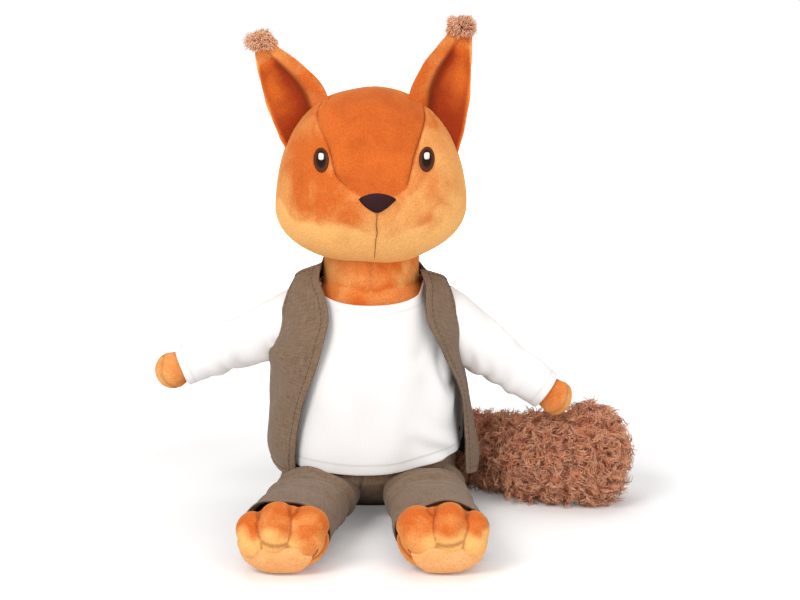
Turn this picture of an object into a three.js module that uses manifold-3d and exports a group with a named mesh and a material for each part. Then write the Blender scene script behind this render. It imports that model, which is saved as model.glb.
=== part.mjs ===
// A stuffed squirrel doll in a shirt, an open vest and shorts, sitting with its legs forward.
// Millimetres, +Z up. The doll looks along -Y, and its seat rests on the floor at the origin.

import * as THREE from "three";
import { LoftGeometry } from "three/addons/geometries/LoftGeometry.js";
import { mergeVertices } from "three/addons/utils/BufferGeometryUtils.js";
import Module from "manifold-3d";

const wasm = await Module();
wasm.setup();

// Cloth and clearances
const plushThickness = 2;
const jerseyThickness = 1.2;
const wovenThickness = 1.4;
const seamGap = 0.3;
const socketGap = 0.6;
const floorFlat = 0.5;

// Torso, from the seat up
const seatHalfWidth = 25;
const seatHalfDepth = 12.5;
const seatSetback = 6.5;
const underHalfWidth = 37;
const underHalfDepth = 21;
const underSetback = 6;
const underHeight = 6.4;
const hipHalfWidth = 41;
const hipHalfDepth = 33;
const hipHeight = 22;
const bellyHalfWidth = 43;
const bellyHalfDepth = 35;
const bellyHeight = 50;
const chestHalfWidth = 40;
const chestHalfDepth = 32;
const chestHeight = 82;
const shoulderHalfWidth = 33;
const shoulderHalfDepth = 27;
const torsoTopHeight = 120;
const shoulderDrop = 16;
const shoulderHeight = torsoTopHeight - shoulderDrop;
const torsoPower = 2.2;

// Neck, a stuffed column with a rounded top that the head turns on
const neckRadius = 23.5;
const neckSink = 12;
const neckBaseHeight = torsoTopHeight - neckSink;
const neckBallRadius = 23.5;
const neckTuckAngle = 38;
const nodPivotRise = 21;
const nodPivotHeight = torsoTopHeight + nodPivotRise;

// Head
const headHalfWidth = 48.3;
const headFrontDepth = 45;
const headBackDepth = 42;
const headWidestRise = 18;
const headWidestHeight = nodPivotHeight + headWidestRise;
const headCrownRise = 59;
const headChinDrop = 27;
const crownPower = 2.05;
const jawPower = 2.4;
const headRingPower = 2.15;
const muzzleReach = 7;
const muzzleOffset = 3;
const muzzleHalfWidth = 20;
const muzzleHalfHeight = 15;
const headPoleAngle = 0.16;

// Face
const eyeSpacing = 51.3;
const eyeOffset = 2;
const eyeRise = 26;
const eyeHeight = headWidestHeight + eyeRise;
const eyeWidth = 8;
const eyeTall = 11.5;
const glintWidth = 2.4;
const glintTall = 3;
const glintRise = 1.5;
const glintThickness = 0.5;
const noseOffset = 3.7;
const noseRise = 7;
const noseHeight = headWidestHeight + noseRise;
const noseWidth = 18;
const noseTall = 10;
const noseCornerRise = 2;
const noseArchRise = 8;
const embroideryThickness = 1;
const noseThickness = 2.2;

// Ears
const earRightLength = 42.4;
const earLeftLength = 46;
const earBaseHalfWidth = 15.2;
const earTipHalfWidth = 5;
const earCupDepth = 7;
const earThickness = 3.6;
const earBaseOffset = 32;
const earBaseRise = 41;
const earBaseHeight = headWidestHeight + earBaseRise;
const earBaseForward = 2;
const earRootDepth = 14;
const earTaperPower = 0.9;
const earCupRise = 0.4;
const earCupFade = 0.7;
const earEdgeThinning = 0.6;
const earHingeAngle = 46;
const earRightLeanAngle = 29;
const earLeftLeanAngle = 15.4;
const earFlexAngle = 20;
const tuftHalfWidth = 8.4;
const tuftHalfDepth = 5.5;
const tuftHalfTall = 7;
const tuftRise = 2.3;

// Arms and sleeves
const shoulderJointOffset = 36;
const shoulderJointHeight = 100;
const armBallRadius = 13.4;
const armElbowRadius = 12.2;
const armElbowReach = 27;
const armWristRadius = 7.4;
const armWristReach = 64;
const handRadius = 9;
const handCapLength = 8;
const armLength = 80;
const handReach = armLength - handCapLength;
const armForward = 5;
const rightArmDroopAngle = 22.2;
const leftArmDroopAngle = 34.8;
const sleeveReach = 65;
const sleeveStart = -4.5;
const armRootCut = -10;
const armHighestAngle = 32;
const armLowestAngle = 53;

// Legs, feet and shorts legs
const hipJointOffset = 25.5;
const hipJointForward = 18;
const hipJointHeight = 17;
const legRootHalfWidth = 19.2;
const legBallRadius = 15.5;
const legAnkleHalfWidth = 17.5;
const legAnkleHalfHeight = 12;
const ankleReach = 76;
const ankleHeight = 15.5;
const rightFootOffset = 40;
const leftFootOffset = 34.5;
const footHalfWidth = 21.4;
const footHalfDepth = 13.5;
const footHalfHeight = 17;
const footForward = 106;
const toeHalfWidth = 8.2;
const toeHalfDepth = 9.5;
const toeHalfHeight = 7.6;
const toeSpacing = 12.6;
const toeRise = 10.5;
const toeForward = 4.5;
const toeArch = 3;
const solePanelHeight = 24;
const solePanelForward = 8;
const shortsLegReach = 74;
const shortsLegStart = -6.4;
const legRootCut = -12;
const legRaiseAngle = 15;
const legLowerAngle = 40;

// Shorts and shirt
const shortsWaistHeight = 44;
const shirtHemHeight = 28;
const necklineDrop = 9;
const necklineFrontHeight = torsoTopHeight - necklineDrop;
const necklineSlope = 0.36;

// Vest
const vestHemHeight = 28;
const vestFlare = 3;
const vestNeckRadius = 26;
const vestSideSeamY = 2;
const vestOpeningTop = 26;
const vestOpeningChest = 29;
const vestOpeningHem = 43;
const vestBendHeight = 76;

// Tail
const tailRootY = 36;
const tailRootHeight = 16;
const tailRootRadius = 13;
const tailRootCut = -9;
const tailBackRadius = 16.5;
const tailBackDistance = 36;
const tailMiddleRadius = 20;
const tailMiddleDistance = 76;
const tailEndRadius = 26;
const tailCapLength = 21;
const tailBackX = 12;
const tailBackReach = 18;
const tailBendX = 42;
const tailBendReach = 19;
const tailBendRise = 1;
const tailTurnX = 69;
const tailTurnY = 32;
const tailSideX = 88;
const tailSideY = 14;
const tailEndY = 9;
const tailReach = 137;
const tailNicheGap = 2;
const tailSwingAngle = 65;

// How finely the fabric forms and the hidden forms inside them are divided
const mergeTolerance = 1e-4;
const bodySides = 20;
const bodyRows = 10;
const coreSides = 16;
const coreRows = 7;
const neckBallRows = 5;
const limbSides = 12;
const limbRows = 4;
const limbCapRows = 3;
const limbCapOpening = 0.35;
const limbCoreSides = 10;
const limbCoreRows = 4;
const limbCoreCapRows = 2;
const tailRows = 9;
const tailSweepSteps = 4;
const tailSocketSteps = 2;
const footRows = 7;
const toeSides = 8;
const toeRows = 5;
const earRows = 7;
const earColumns = 6;
const earSweepSteps = 4;
const tuftRows = 7;
const fanArcSteps = 7;
const outlineSegments = 6;
const hemPower = 5;

const upward = new THREE.Vector3(0, 0, 1);
const alongX = new THREE.Vector3(1, 0, 0);
const alongY = new THREE.Vector3(0, 1, 0);
const forward = new THREE.Vector3(0, -1, 0);

// Makes a closed solid of a geometry whose seams share their vertices.
function toSolid(geometry) {
  const plain = new THREE.BufferGeometry().copy(geometry);
  plain.deleteAttribute("normal");
  plain.deleteAttribute("uv");
  const merged = mergeVertices(plain, mergeTolerance);
  return new wasm.Manifold(
    new wasm.Mesh({
      numProp: 3,
      vertProperties: new Float32Array(merged.attributes.position.array),
      triVerts: new Uint32Array(merged.index.array),
    }),
  );
}

// A closed solid through cross sections, with a flat cap on each end.
function loft(sections) {
  return toSolid(new LoftGeometry(sections, { capStart: true, capEnd: true }));
}

function signedPower(value, power) {
  return Math.sign(value) * Math.pow(Math.abs(value), power);
}

// A superellipse section about centre, spanned by two directions.
function ovalSection(centre, side, up, halfSide, halfUp, power, count) {
  const points = [];
  for (let i = 0; i < count; i += 1) {
    const angle = (i / count) * Math.PI * 2;
    const across = halfSide * signedPower(Math.cos(angle), 2 / power);
    const along = halfUp * signedPower(Math.sin(angle), 2 / power);
    points.push(centre.clone().addScaledVector(side, across).addScaledVector(up, along));
  }
  return points;
}

function ellipsoid(halfX, halfY, halfZ, centre, sides, rows) {
  const geometry = new THREE.SphereGeometry(1, sides, rows);
  geometry.scale(halfX, halfY, halfZ);
  geometry.translate(centre.x, centre.y, centre.z);
  return toSolid(geometry);
}

function block(minimum, maximum) {
  const size = new THREE.Vector3().subVectors(maximum, minimum);
  const middle = new THREE.Vector3().addVectors(maximum, minimum).multiplyScalar(0.5);
  const geometry = new THREE.BoxGeometry(size.x, size.y, size.z);
  geometry.translate(middle.x, middle.y, middle.z);
  return toSolid(geometry);
}

// Everything that is well outside the doll, for half spaces.
const farAway = 400;

function spaceBelow(height) {
  return block(
    new THREE.Vector3(-farAway, -farAway, -farAway),
    new THREE.Vector3(farAway, farAway, height),
  );
}

function spaceAbove(height) {
  return block(
    new THREE.Vector3(-farAway, -farAway, height),
    new THREE.Vector3(farAway, farAway, farAway),
  );
}

// The solid turned about an axis through a pivot.
function turned(solid, pivot, axis, degrees) {
  const matrix = new THREE.Matrix4()
    .makeTranslation(pivot.x, pivot.y, pivot.z)
    .multiply(new THREE.Matrix4().makeRotationAxis(axis, THREE.MathUtils.degToRad(degrees)))
    .multiply(new THREE.Matrix4().makeTranslation(-pivot.x, -pivot.y, -pivot.z));
  return solid.transform(matrix.elements);
}

// All that a solid passes through as it turns from one angle to another.
function swept(solid, pivot, axis, from, to, steps) {
  let all = turned(solid, pivot, axis, from);
  for (let i = 1; i <= steps; i += 1) {
    all = all.add(turned(solid, pivot, axis, from + ((to - from) * i) / steps));
  }
  return all;
}

// Torso. Half width, half depth and height of its sections, as one smooth curve.
const seatHeight = wovenThickness + seamGap - floorFlat;
const torsoProfile = new THREE.CatmullRomCurve3(
  [
    new THREE.Vector3(seatHalfWidth, seatHalfDepth, seatHeight),
    new THREE.Vector3(underHalfWidth, underHalfDepth, underHeight),
    new THREE.Vector3(hipHalfWidth, hipHalfDepth, hipHeight),
    new THREE.Vector3(bellyHalfWidth, bellyHalfDepth, bellyHeight),
    new THREE.Vector3(chestHalfWidth, chestHalfDepth, chestHeight),
    new THREE.Vector3(shoulderHalfWidth, shoulderHalfDepth, shoulderHeight),
    new THREE.Vector3(neckRadius, neckRadius, torsoTopHeight),
  ],
  false,
  "centripetal",
);

// How far behind the middle a section of the torso lies.
function torsoSetback(height) {
  if (height > underHeight) {
    return underSetback * THREE.MathUtils.clamp((hipHeight - height) / (hipHeight - underHeight), 0, 1);
  }
  return THREE.MathUtils.mapLinear(height, seatHeight, underHeight, seatSetback, underSetback);
}

// The torso, thicker by grow all round, and wider by flare at hem level.
function torsoForm(grow, sides, rows, flare = 0) {
  const sections = [];
  for (let i = 0; i <= rows; i += 1) {
    const t = i / rows;
    const size = torsoProfile.getPoint(t);
    const rise = grow * Math.pow(2 * t - 1, hemPower);
    const hang = (chestHeight - size.z) / (chestHeight - vestHemHeight);
    const spread = grow + flare * THREE.MathUtils.clamp(hang, 0, 1);
    const centre = new THREE.Vector3(0, torsoSetback(size.z), size.z + rise);
    sections.push(
      ovalSection(centre, alongX, alongY, size.x + spread, size.y + spread, torsoPower, sides),
    );
  }
  return loft(sections);
}

// Neck, turned round the upright axis: a foot, a waist and a ball on top.
function neckForm(grow, sides, ballRows) {
  const lowestAngle = -THREE.MathUtils.degToRad(neckTuckAngle);
  const outline = [
    new THREE.Vector2(0, neckBaseHeight - grow),
    new THREE.Vector2(neckRadius + grow, neckBaseHeight - grow),
    new THREE.Vector2(neckRadius + grow, torsoTopHeight),
  ];
  for (let i = 0; i <= ballRows; i += 1) {
    const angle = lowestAngle + ((Math.PI / 2 - lowestAngle) * i) / ballRows;
    const reach = i === ballRows ? 0 : (neckBallRadius + grow) * Math.cos(angle);
    outline.push(new THREE.Vector2(reach, nodPivotHeight + (neckBallRadius + grow) * Math.sin(angle)));
  }
  return toSolid(new THREE.LatheGeometry(outline, sides).rotateX(Math.PI / 2));
}

// Head. Two superellipsoid halves that meet where it is widest, with a rounded muzzle in front.
function headForm(grow, sides, rows) {
  const sections = [];
  for (let i = 0; i <= rows; i += 1) {
    const angle = Math.PI - headPoleAngle - ((Math.PI - 2 * headPoleAngle) * i) / rows;
    const level = Math.cos(angle);
    const power = level > 0 ? crownPower : jawPower;
    const reach = level > 0 ? headCrownRise : headChinDrop;
    const share = Math.pow(1 - Math.pow(Math.abs(level), power), 1 / power);
    const height = headWidestHeight + (reach + grow) * level;
    const centre = new THREE.Vector3(0, 0, height);
    const halfWidth = (headHalfWidth + grow) * share;
    const ring = ovalSection(centre, alongX, alongY, halfWidth, 1, headRingPower, sides);
    const muzzleLevel = (height - noseHeight) / (muzzleHalfHeight + grow);
    for (const point of ring) {
      const depth = point.y > 0 ? headBackDepth : headFrontDepth;
      point.y *= (depth + grow) * share;
      if (point.y < 0) {
        const aside = (point.x - muzzleOffset) / (muzzleHalfWidth + grow);
        point.y -= muzzleReach * share * Math.exp(-aside * aside - muzzleLevel * muzzleLevel);
      }
    }
    sections.push(ring);
  }
  return loft(sections);
}

// A limb: a round root about its joint, then sections along a path, then a rounded end.
function limbForm(limb, grow, sides, rows, capRows) {
  const sections = [];
  const length = limb.path.getLength();
  const profile = new THREE.CatmullRomCurve3(limb.stations, false, "centripetal");
  const addSection = (distance, halfSide, halfUp) => {
    const share = THREE.MathUtils.clamp(distance / length, 0, 1);
    const tangent = limb.path.getTangentAt(share);
    const centre = limb.path.getPointAt(share);
    centre.addScaledVector(tangent, distance - share * length);
    const side = new THREE.Vector3().crossVectors(upward, tangent).normalize();
    const up = new THREE.Vector3().crossVectors(tangent, side);
    sections.push(ovalSection(centre, side, up, halfSide, halfUp, 2, sides));
  };
  const first = limb.stations[0];
  const last = limb.stations[limb.stations.length - 1];
  const capStep = Math.PI / 2 / (capRows + limbCapOpening);
  for (let i = capRows; i >= 1; i -= 1) {
    const shrink = Math.cos(capStep * i);
    const distance = -(first.y + grow) * Math.sin(capStep * i);
    addSection(distance, (first.x + grow) * shrink, (first.y + grow) * shrink);
  }
  for (let i = 0; i <= rows; i += 1) {
    const size = profile.getPoint(i / rows);
    addSection(size.z, size.x + grow, size.y + grow);
  }
  for (let i = 1; i <= capRows; i += 1) {
    const shrink = Math.cos(capStep * i);
    const distance = last.z + (limb.capLength + grow) * Math.sin(capStep * i);
    addSection(distance, (last.x + grow) * shrink, (last.y + grow) * shrink);
  }
  return loft(sections);
}

// Arms. side is 1 for the doll's left, which is +X, and -1 for its right.
function makeArm(side, droop) {
  const pivot = new THREE.Vector3(side * shoulderJointOffset, 0, shoulderJointHeight);
  const slope = THREE.MathUtils.degToRad(droop);
  const direction = new THREE.Vector3(
    side * armLength * Math.cos(slope),
    -armForward,
    -armLength * Math.sin(slope),
  ).normalize();
  return {
    pivot,
    capLength: handCapLength,
    path: new THREE.LineCurve3(pivot, pivot.clone().addScaledVector(direction, armLength)),
    stations: [
      new THREE.Vector3(armBallRadius, armBallRadius, 0),
      new THREE.Vector3(armElbowRadius, armElbowRadius, armElbowReach),
      new THREE.Vector3(armWristRadius, armWristRadius, armWristReach),
      new THREE.Vector3(handRadius, handRadius, handReach),
    ],
  };
}

// Legs, straight forward and a little apart, down to the ankle.
function makeLeg(side, footOffset) {
  const pivot = new THREE.Vector3(side * hipJointOffset, -hipJointForward, hipJointHeight);
  const ankle = new THREE.Vector3(side * footOffset, -hipJointForward - ankleReach, ankleHeight);
  return {
    pivot,
    foot: new THREE.Vector3(side * footOffset, -footForward, footHalfHeight - floorFlat),
    capLength: footForward - hipJointForward - ankleReach,
    path: new THREE.LineCurve3(pivot, ankle),
    stations: [
      new THREE.Vector3(legRootHalfWidth, legBallRadius, 0),
      new THREE.Vector3(
        (legRootHalfWidth + legAnkleHalfWidth) / 2,
        (legBallRadius + legAnkleHalfHeight) / 2,
        ankleReach / 2,
      ),
      new THREE.Vector3(legAnkleHalfWidth, legAnkleHalfHeight, ankleReach),
    ],
  };
}

// Foot: a rounded pad that stands on its heel, with three toes over the sole.
function footForm(leg, grow, sides) {
  const centre = leg.foot;
  let form = ellipsoid(
    footHalfWidth + grow,
    footHalfDepth + grow,
    footHalfHeight + grow,
    centre,
    sides,
    footRows,
  );
  for (const place of [-1, 0, 1]) {
    const toe = new THREE.Vector3(
      centre.x + place * toeSpacing,
      centre.y - toeForward,
      centre.z + toeRise - Math.abs(place) * toeArch,
    );
    form = form.add(
      ellipsoid(
        toeHalfWidth + grow,
        toeHalfDepth + grow,
        toeHalfHeight + grow,
        toe,
        toeSides,
        toeRows,
      ),
    );
  }
  return form;
}

function legForm(leg, grow, sides, rows, capRows) {
  return limbForm(leg, grow, sides, rows, capRows).add(footForm(leg, grow, sides));
}

// Tail. It leaves the back, bends round the hip and lies on the floor beside it.
const tailPath = new THREE.CatmullRomCurve3([
  new THREE.Vector3(0, tailRootY, tailRootHeight),
  new THREE.Vector3(tailBackX, tailRootY + tailBackReach, (tailRootHeight + tailBackRadius - floorFlat) / 2),
  new THREE.Vector3(tailBendX, tailRootY + tailBendReach, tailBackRadius - floorFlat + tailBendRise),
  new THREE.Vector3(tailTurnX, tailTurnY, tailMiddleRadius - floorFlat),
  new THREE.Vector3(tailSideX, tailSideY, (tailMiddleRadius + tailEndRadius) / 2 - floorFlat),
  new THREE.Vector3(tailReach - tailCapLength, tailEndY, tailEndRadius - floorFlat),
]);
const tail = {
  pivot: new THREE.Vector3(0, tailRootY, tailRootHeight),
  capLength: tailCapLength,
  path: tailPath,
  stations: [
    new THREE.Vector3(tailRootRadius, tailRootRadius, 0),
    new THREE.Vector3(tailBackRadius, tailBackRadius, tailBackDistance),
    new THREE.Vector3(tailMiddleRadius, tailMiddleRadius, tailMiddleDistance),
    new THREE.Vector3(tailEndRadius, tailEndRadius, tailPath.getLength()),
  ],
};

// The stretch of space round a limb between two distances from its joint.
function limbStretch(limb, from, to) {
  const start = limb.path.getPointAt(0);
  const tangent = limb.path.getTangentAt(0);
  const side = new THREE.Vector3().crossVectors(upward, tangent).normalize();
  const up = new THREE.Vector3().crossVectors(tangent, side);
  const ends = [from, to].map((distance) => {
    const centre = start.clone().addScaledVector(tangent, distance);
    return ovalSection(centre, side, up, farAway, farAway, 2, 4);
  });
  return loft(ends);
}

// The hidden form inside a limb: the same shape with fewer faces.
function limbCore(limb, grow) {
  return limbForm(limb, grow, limbCoreSides, limbCoreRows, limbCoreCapRows);
}

function limbSkinForm(limb, grow) {
  return limbForm(limb, grow, limbSides, limbRows, limbCapRows);
}

// Ears: a cupped leaf that opens forward, leaning outwards.
function makeEar(side, lean, length) {
  const angle = THREE.MathUtils.degToRad(lean);
  const slope = THREE.MathUtils.degToRad(earHingeAngle);
  return {
    length,
    base: new THREE.Vector3(side * earBaseOffset, -earBaseForward, earBaseHeight),
    along: new THREE.Vector3(side * Math.sin(angle), 0, Math.cos(angle)),
    across: new THREE.Vector3(Math.cos(angle), 0, -side * Math.sin(angle)),
    hinge: new THREE.Vector3(Math.cos(slope), 0, -side * Math.sin(slope)),
  };
}

function earForm(ear, grow) {
  const sections = [];
  for (let i = 0; i <= earRows; i += 1) {
    const distance = -earRootDepth + ((ear.length + grow + earRootDepth) * i) / earRows;
    const share = THREE.MathUtils.clamp(distance / ear.length, 0, 1);
    const taper = Math.pow(1 - share, earTaperPower);
    const halfWidth = earTipHalfWidth + (earBaseHalfWidth - earTipHalfWidth) * taper + grow;
    const cup = earCupDepth * (1 - earCupFade * share);
    const centre = ear.base.clone().addScaledVector(ear.along, distance);
    const front = [];
    const back = [];
    for (let j = 0; j <= earColumns; j += 1) {
      const across = (2 * j) / earColumns - 1;
      const depth = earThickness * (1 - earEdgeThinning * across * across) + 2 * grow;
      const middle = centre.clone().addScaledVector(ear.across, halfWidth * across);
      middle.y += cup * (earCupRise - across * across);
      front.push(middle.clone().addScaledVector(alongY, -depth / 2));
      back.unshift(middle.clone().addScaledVector(alongY, depth / 2));
    }
    sections.push([...front, ...back]);
  }
  return loft(sections);
}

// A prism along Y through an outline in the XZ plane, in front of the middle.
function frontPrism(shape) {
  const options = { depth: farAway, bevelEnabled: false, curveSegments: outlineSegments };
  const geometry = new THREE.ExtrudeGeometry(shape, options);
  geometry.rotateX(Math.PI / 2);
  return toSolid(geometry);
}

function ovalOutline(x, z, width, tall) {
  return new THREE.Shape().absellipse(x, z, width / 2, tall / 2, 0, Math.PI * 2, false, 0);
}

// A cloth patch that lies on the face: the layer from one height over it to another, inside an outline.
function facePatch(outline, from, to) {
  const layer = headForm(to, bodySides, bodyRows).subtract(headForm(from, bodySides, bodyRows));
  return layer.intersect(frontPrism(outline));
}

// The body pieces, each cut by what turns in it or lies on it.
const rightArm = makeArm(-1, rightArmDroopAngle);
const leftArm = makeArm(1, leftArmDroopAngle);
const rightLeg = makeLeg(-1, rightFootOffset);
const leftLeg = makeLeg(1, leftFootOffset);
const rightEar = makeEar(-1, earRightLeanAngle, earRightLength);
const leftEar = makeEar(1, earLeftLeanAngle, earLeftLength);

const sleeveInner = seamGap;
const sleeveOuter = seamGap + jerseyThickness;
const shortsInner = seamGap;
const shortsOuter = seamGap + wovenThickness;
const shirtInner = shortsOuter + seamGap;
const shirtOuter = shirtInner + jerseyThickness;
const vestInner = shirtOuter + seamGap;
const vestOuter = vestInner + wovenThickness;

const floorOrigin = new THREE.Vector3(0, 0, 0);
const neckPivot = new THREE.Vector3(0, 0, neckBaseHeight);
const nodPivot = new THREE.Vector3(0, 0, nodPivotHeight);

const neckSolid = neckForm(0, coreSides, neckBallRows);

// The space that a limb turns in: a fan about its joint, as thick as the limb's root is wide.
// The fan lies in a plane spanned by outward and upward, between two angles over outward.
function fanSpace(pivot, outward, radius, halfThickness, lowest, highest) {
  const room = radius / Math.cos(Math.PI / (2 * fanArcSteps));
  const corners = [];
  for (let i = 0; i <= fanArcSteps; i += 1) {
    const angle = highest + 90 + ((180 - highest + lowest) * i) / fanArcSteps;
    const turn = THREE.MathUtils.degToRad(angle);
    corners.push(new THREE.Vector2(room * Math.cos(turn), room * Math.sin(turn)));
  }
  for (const [angle, edge] of [[lowest, -1], [highest, 1]]) {
    const turn = THREE.MathUtils.degToRad(angle);
    const x = farAway * Math.cos(turn) - edge * room * Math.sin(turn);
    const y = farAway * Math.sin(turn) + edge * room * Math.cos(turn);
    corners.push(new THREE.Vector2(x, y));
  }
  const options = { depth: 2 * halfThickness, bevelEnabled: false };
  const geometry = new THREE.ExtrudeGeometry(new THREE.Shape(corners), options);
  geometry.translate(0, 0, -halfThickness);
  const sideways = new THREE.Vector3().crossVectors(outward, upward);
  geometry.applyMatrix4(new THREE.Matrix4().makeBasis(outward, upward, sideways).setPosition(pivot));
  return toSolid(geometry);
}

const armSpaceRadius = armBallRadius + sleeveOuter + socketGap;
const legSpaceRadius = legBallRadius + shortsOuter + socketGap;
const legSpaceHalfWidth = legRootHalfWidth + shortsOuter + socketGap;
const legRestSlope = THREE.MathUtils.radToDeg(Math.atan2(hipJointHeight - ankleHeight, ankleReach));
const armSpaces = [-1, 1]
  .map((side) => [new THREE.Vector3(side, 0, 0), side < 0 ? rightArm.pivot : leftArm.pivot])
  .map(([outward, pivot]) => [pivot, outward, armSpaceRadius, armSpaceRadius])
  .map((place) => fanSpace(...place, -armLowestAngle, armHighestAngle))
  .reduce((all, space) => all.add(space));
const legSpaces = [rightLeg.pivot, leftLeg.pivot]
  .map((pivot) => [pivot, -legLowerAngle - legRestSlope, legRaiseAngle - legRestSlope])
  .map(([pivot, ...angles]) => fanSpace(pivot, forward, legSpaceRadius, legSpaceHalfWidth, ...angles))
  .reduce((all, space) => all.add(space));
const tailAround = limbForm(tail, socketGap, limbSides, tailRows, limbCapRows);
const tailSpaces = swept(tailAround, tail.pivot, upward, 0, tailSwingAngle, tailSweepSteps);
const tailSocket = swept(tailAround, tail.pivot, upward, 0, tailSwingAngle, tailSocketSteps);
const neckSpace = neckForm(socketGap, coreSides, neckBallRows);
const tailRoom = tailRootRadius + tailNicheGap;
const tailNiche = block(
  new THREE.Vector3(-tailRoom, tailRootY - tailRoom, -farAway),
  new THREE.Vector3(tailRoom, farAway, tailRootHeight + tailRoom),
);
const limbSpaces = armSpaces.add(legSpaces);

const torsoHollow = torsoForm(-plushThickness, coreSides, coreRows);
const torsoSkin = torsoForm(0, bodySides, bodyRows)
  .subtract(torsoHollow)
  .subtract(neckSpace)
  .subtract(limbSpaces)
  .subtract(tailSocket);
const torsoFilling = torsoForm(-plushThickness - seamGap, coreSides, coreRows)
  .subtract(neckSpace)
  .subtract(limbSpaces)
  .subtract(tailNiche);

const hipsShell = torsoForm(shortsOuter, bodySides, bodyRows)
  .subtract(torsoForm(shortsInner, bodySides, bodyRows))
  .subtract(spaceBelow(0))
  .subtract(spaceAbove(shortsWaistHeight))
  .subtract(legSpaces)
  .subtract(tailSpaces);

// The shirt's front neckline lies in a plane that rises towards the back.
const necklineCut = block(
  new THREE.Vector3(-farAway, -farAway, 0),
  new THREE.Vector3(farAway, farAway, farAway),
);
const necklineAngle = THREE.MathUtils.radToDeg(Math.atan(necklineSlope));
const necklineSpace = turned(necklineCut, floorOrigin, alongX, necklineAngle);
const necklinePlane = necklineSpace.translate([0, -shoulderHalfDepth, necklineFrontHeight]);
const shirtBody = torsoForm(shirtOuter, bodySides, bodyRows)
  .subtract(torsoForm(shirtInner, bodySides, bodyRows))
  .subtract(spaceBelow(shirtHemHeight))
  .subtract(necklinePlane)
  .subtract(neckSpace)
  .subtract(armSpaces)
  .subtract(legSpaces)
  .subtract(tailSpaces);

// The vest: a shell with a round neck, armholes and an open front.
const vestTopHeight = torsoTopHeight + vestOuter + seamGap;
const vestOpening = new THREE.Shape();
vestOpening.moveTo(-vestOpeningTop, vestTopHeight);
vestOpening.lineTo(-vestOpeningTop, shoulderHeight);
vestOpening.quadraticCurveTo(-vestOpeningTop, chestHeight, -vestOpeningChest, vestBendHeight);
vestOpening.lineTo(-vestOpeningHem, 0);
vestOpening.lineTo(vestOpeningHem, 0);
vestOpening.lineTo(vestOpeningChest, vestBendHeight);
vestOpening.quadraticCurveTo(vestOpeningTop, chestHeight, vestOpeningTop, shoulderHeight);
vestOpening.lineTo(vestOpeningTop, vestTopHeight);
const vestNeck = toSolid(
  new THREE.CylinderGeometry(vestNeckRadius, vestNeckRadius, farAway, bodySides).rotateX(Math.PI / 2),
);
const vestShell = torsoForm(vestOuter, bodySides, bodyRows, vestFlare)
  .subtract(torsoForm(vestInner, bodySides, bodyRows, vestFlare))
  .subtract(spaceBelow(vestHemHeight))
  .subtract(vestNeck)
  .subtract(armSpaces);
const vestFrontSpace = block(
  new THREE.Vector3(-farAway, -farAway, -farAway),
  new THREE.Vector3(farAway, vestSideSeamY - seamGap, farAway),
);
const vestBackSpace = block(
  new THREE.Vector3(-farAway, vestSideSeamY, -farAway),
  new THREE.Vector3(farAway, farAway, farAway),
);
const rightSide = block(
  new THREE.Vector3(-farAway, -farAway, -farAway),
  new THREE.Vector3(0, farAway, farAway),
);
const vestBack = vestShell.intersect(vestBackSpace).subtract(tailSpaces);
const vestFronts = vestShell.intersect(vestFrontSpace).subtract(frontPrism(vestOpening)).subtract(legSpaces);

// Head, with a pocket for the neck's ball.
const pocketRadius = (neckBallRadius + socketGap) / Math.cos(Math.PI / coreSides);
const neckPocket = ellipsoid(pocketRadius, pocketRadius, pocketRadius, nodPivot, coreSides, coreSides / 2);
const headSkin = headForm(0, bodySides, bodyRows)
  .subtract(headForm(-plushThickness, coreSides, coreRows))
  .subtract(neckPocket);
const headFilling = headForm(-plushThickness - seamGap, coreSides, coreRows).subtract(neckPocket);

// Scene: one group for each part that turns, with its origin at its joint.
const plush = { color: 0xe8782c, roughness: 0.95, metalness: 0 };
const palePlush = { color: 0xf6b169, roughness: 0.95, metalness: 0 };
const stuffing = { color: 0xf2efe8, roughness: 1, metalness: 0 };
const curlyFur = { color: 0x9b6250, roughness: 1, metalness: 0 };
const tuftFur = { color: 0xc58a6b, roughness: 1, metalness: 0 };
const jersey = { color: 0xf4f3f1, roughness: 0.9, metalness: 0 };
const twill = { color: 0x8b7560, roughness: 0.92, metalness: 0 };
const brownThread = { color: 0x4a2418, roughness: 0.6, metalness: 0 };
const darkThread = { color: 0x3d1f24, roughness: 0.6, metalness: 0 };
const whiteThread = { color: 0xf8f6f2, roughness: 0.5, metalness: 0 };

// Adds a solid to a group as a named mesh, placed from the group's own origin.
function addPiece(group, name, solid, finish) {
  const origin = new THREE.Vector3();
  group.updateWorldMatrix(true, false);
  group.getWorldPosition(origin);
  const surface = solid.translate([-origin.x, -origin.y, -origin.z]).getMesh();
  const geometry = new THREE.BufferGeometry();
  geometry.setAttribute("position", new THREE.BufferAttribute(surface.vertProperties, 3));
  geometry.setIndex(new THREE.BufferAttribute(surface.triVerts, 1));
  geometry.computeVertexNormals();
  const mesh = new THREE.Mesh(geometry, new THREE.MeshStandardMaterial(finish));
  mesh.name = name;
  group.add(mesh);
}

function addJointGroup(parent, parentPivot, pivot) {
  const group = new THREE.Group();
  group.position.subVectors(pivot, parentPivot);
  parent.add(group);
  return group;
}

const doll = new THREE.Group();

addPiece(doll, "torso", torsoSkin, plush);
addPiece(doll, "torso_filling", torsoFilling, stuffing);
addPiece(doll, "shirt_body", shirtBody, jersey);
addPiece(doll, "vest_back", vestBack, twill);
addPiece(doll, "vest_right_front", vestFronts.intersect(rightSide), twill);
addPiece(doll, "vest_left_front", vestFronts.subtract(rightSide), twill);
addPiece(doll, "shorts_hips", hipsShell, twill);

const neckGroup = addJointGroup(doll, floorOrigin, neckPivot);
addPiece(neckGroup, "neck", neckSolid, plush);

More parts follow.
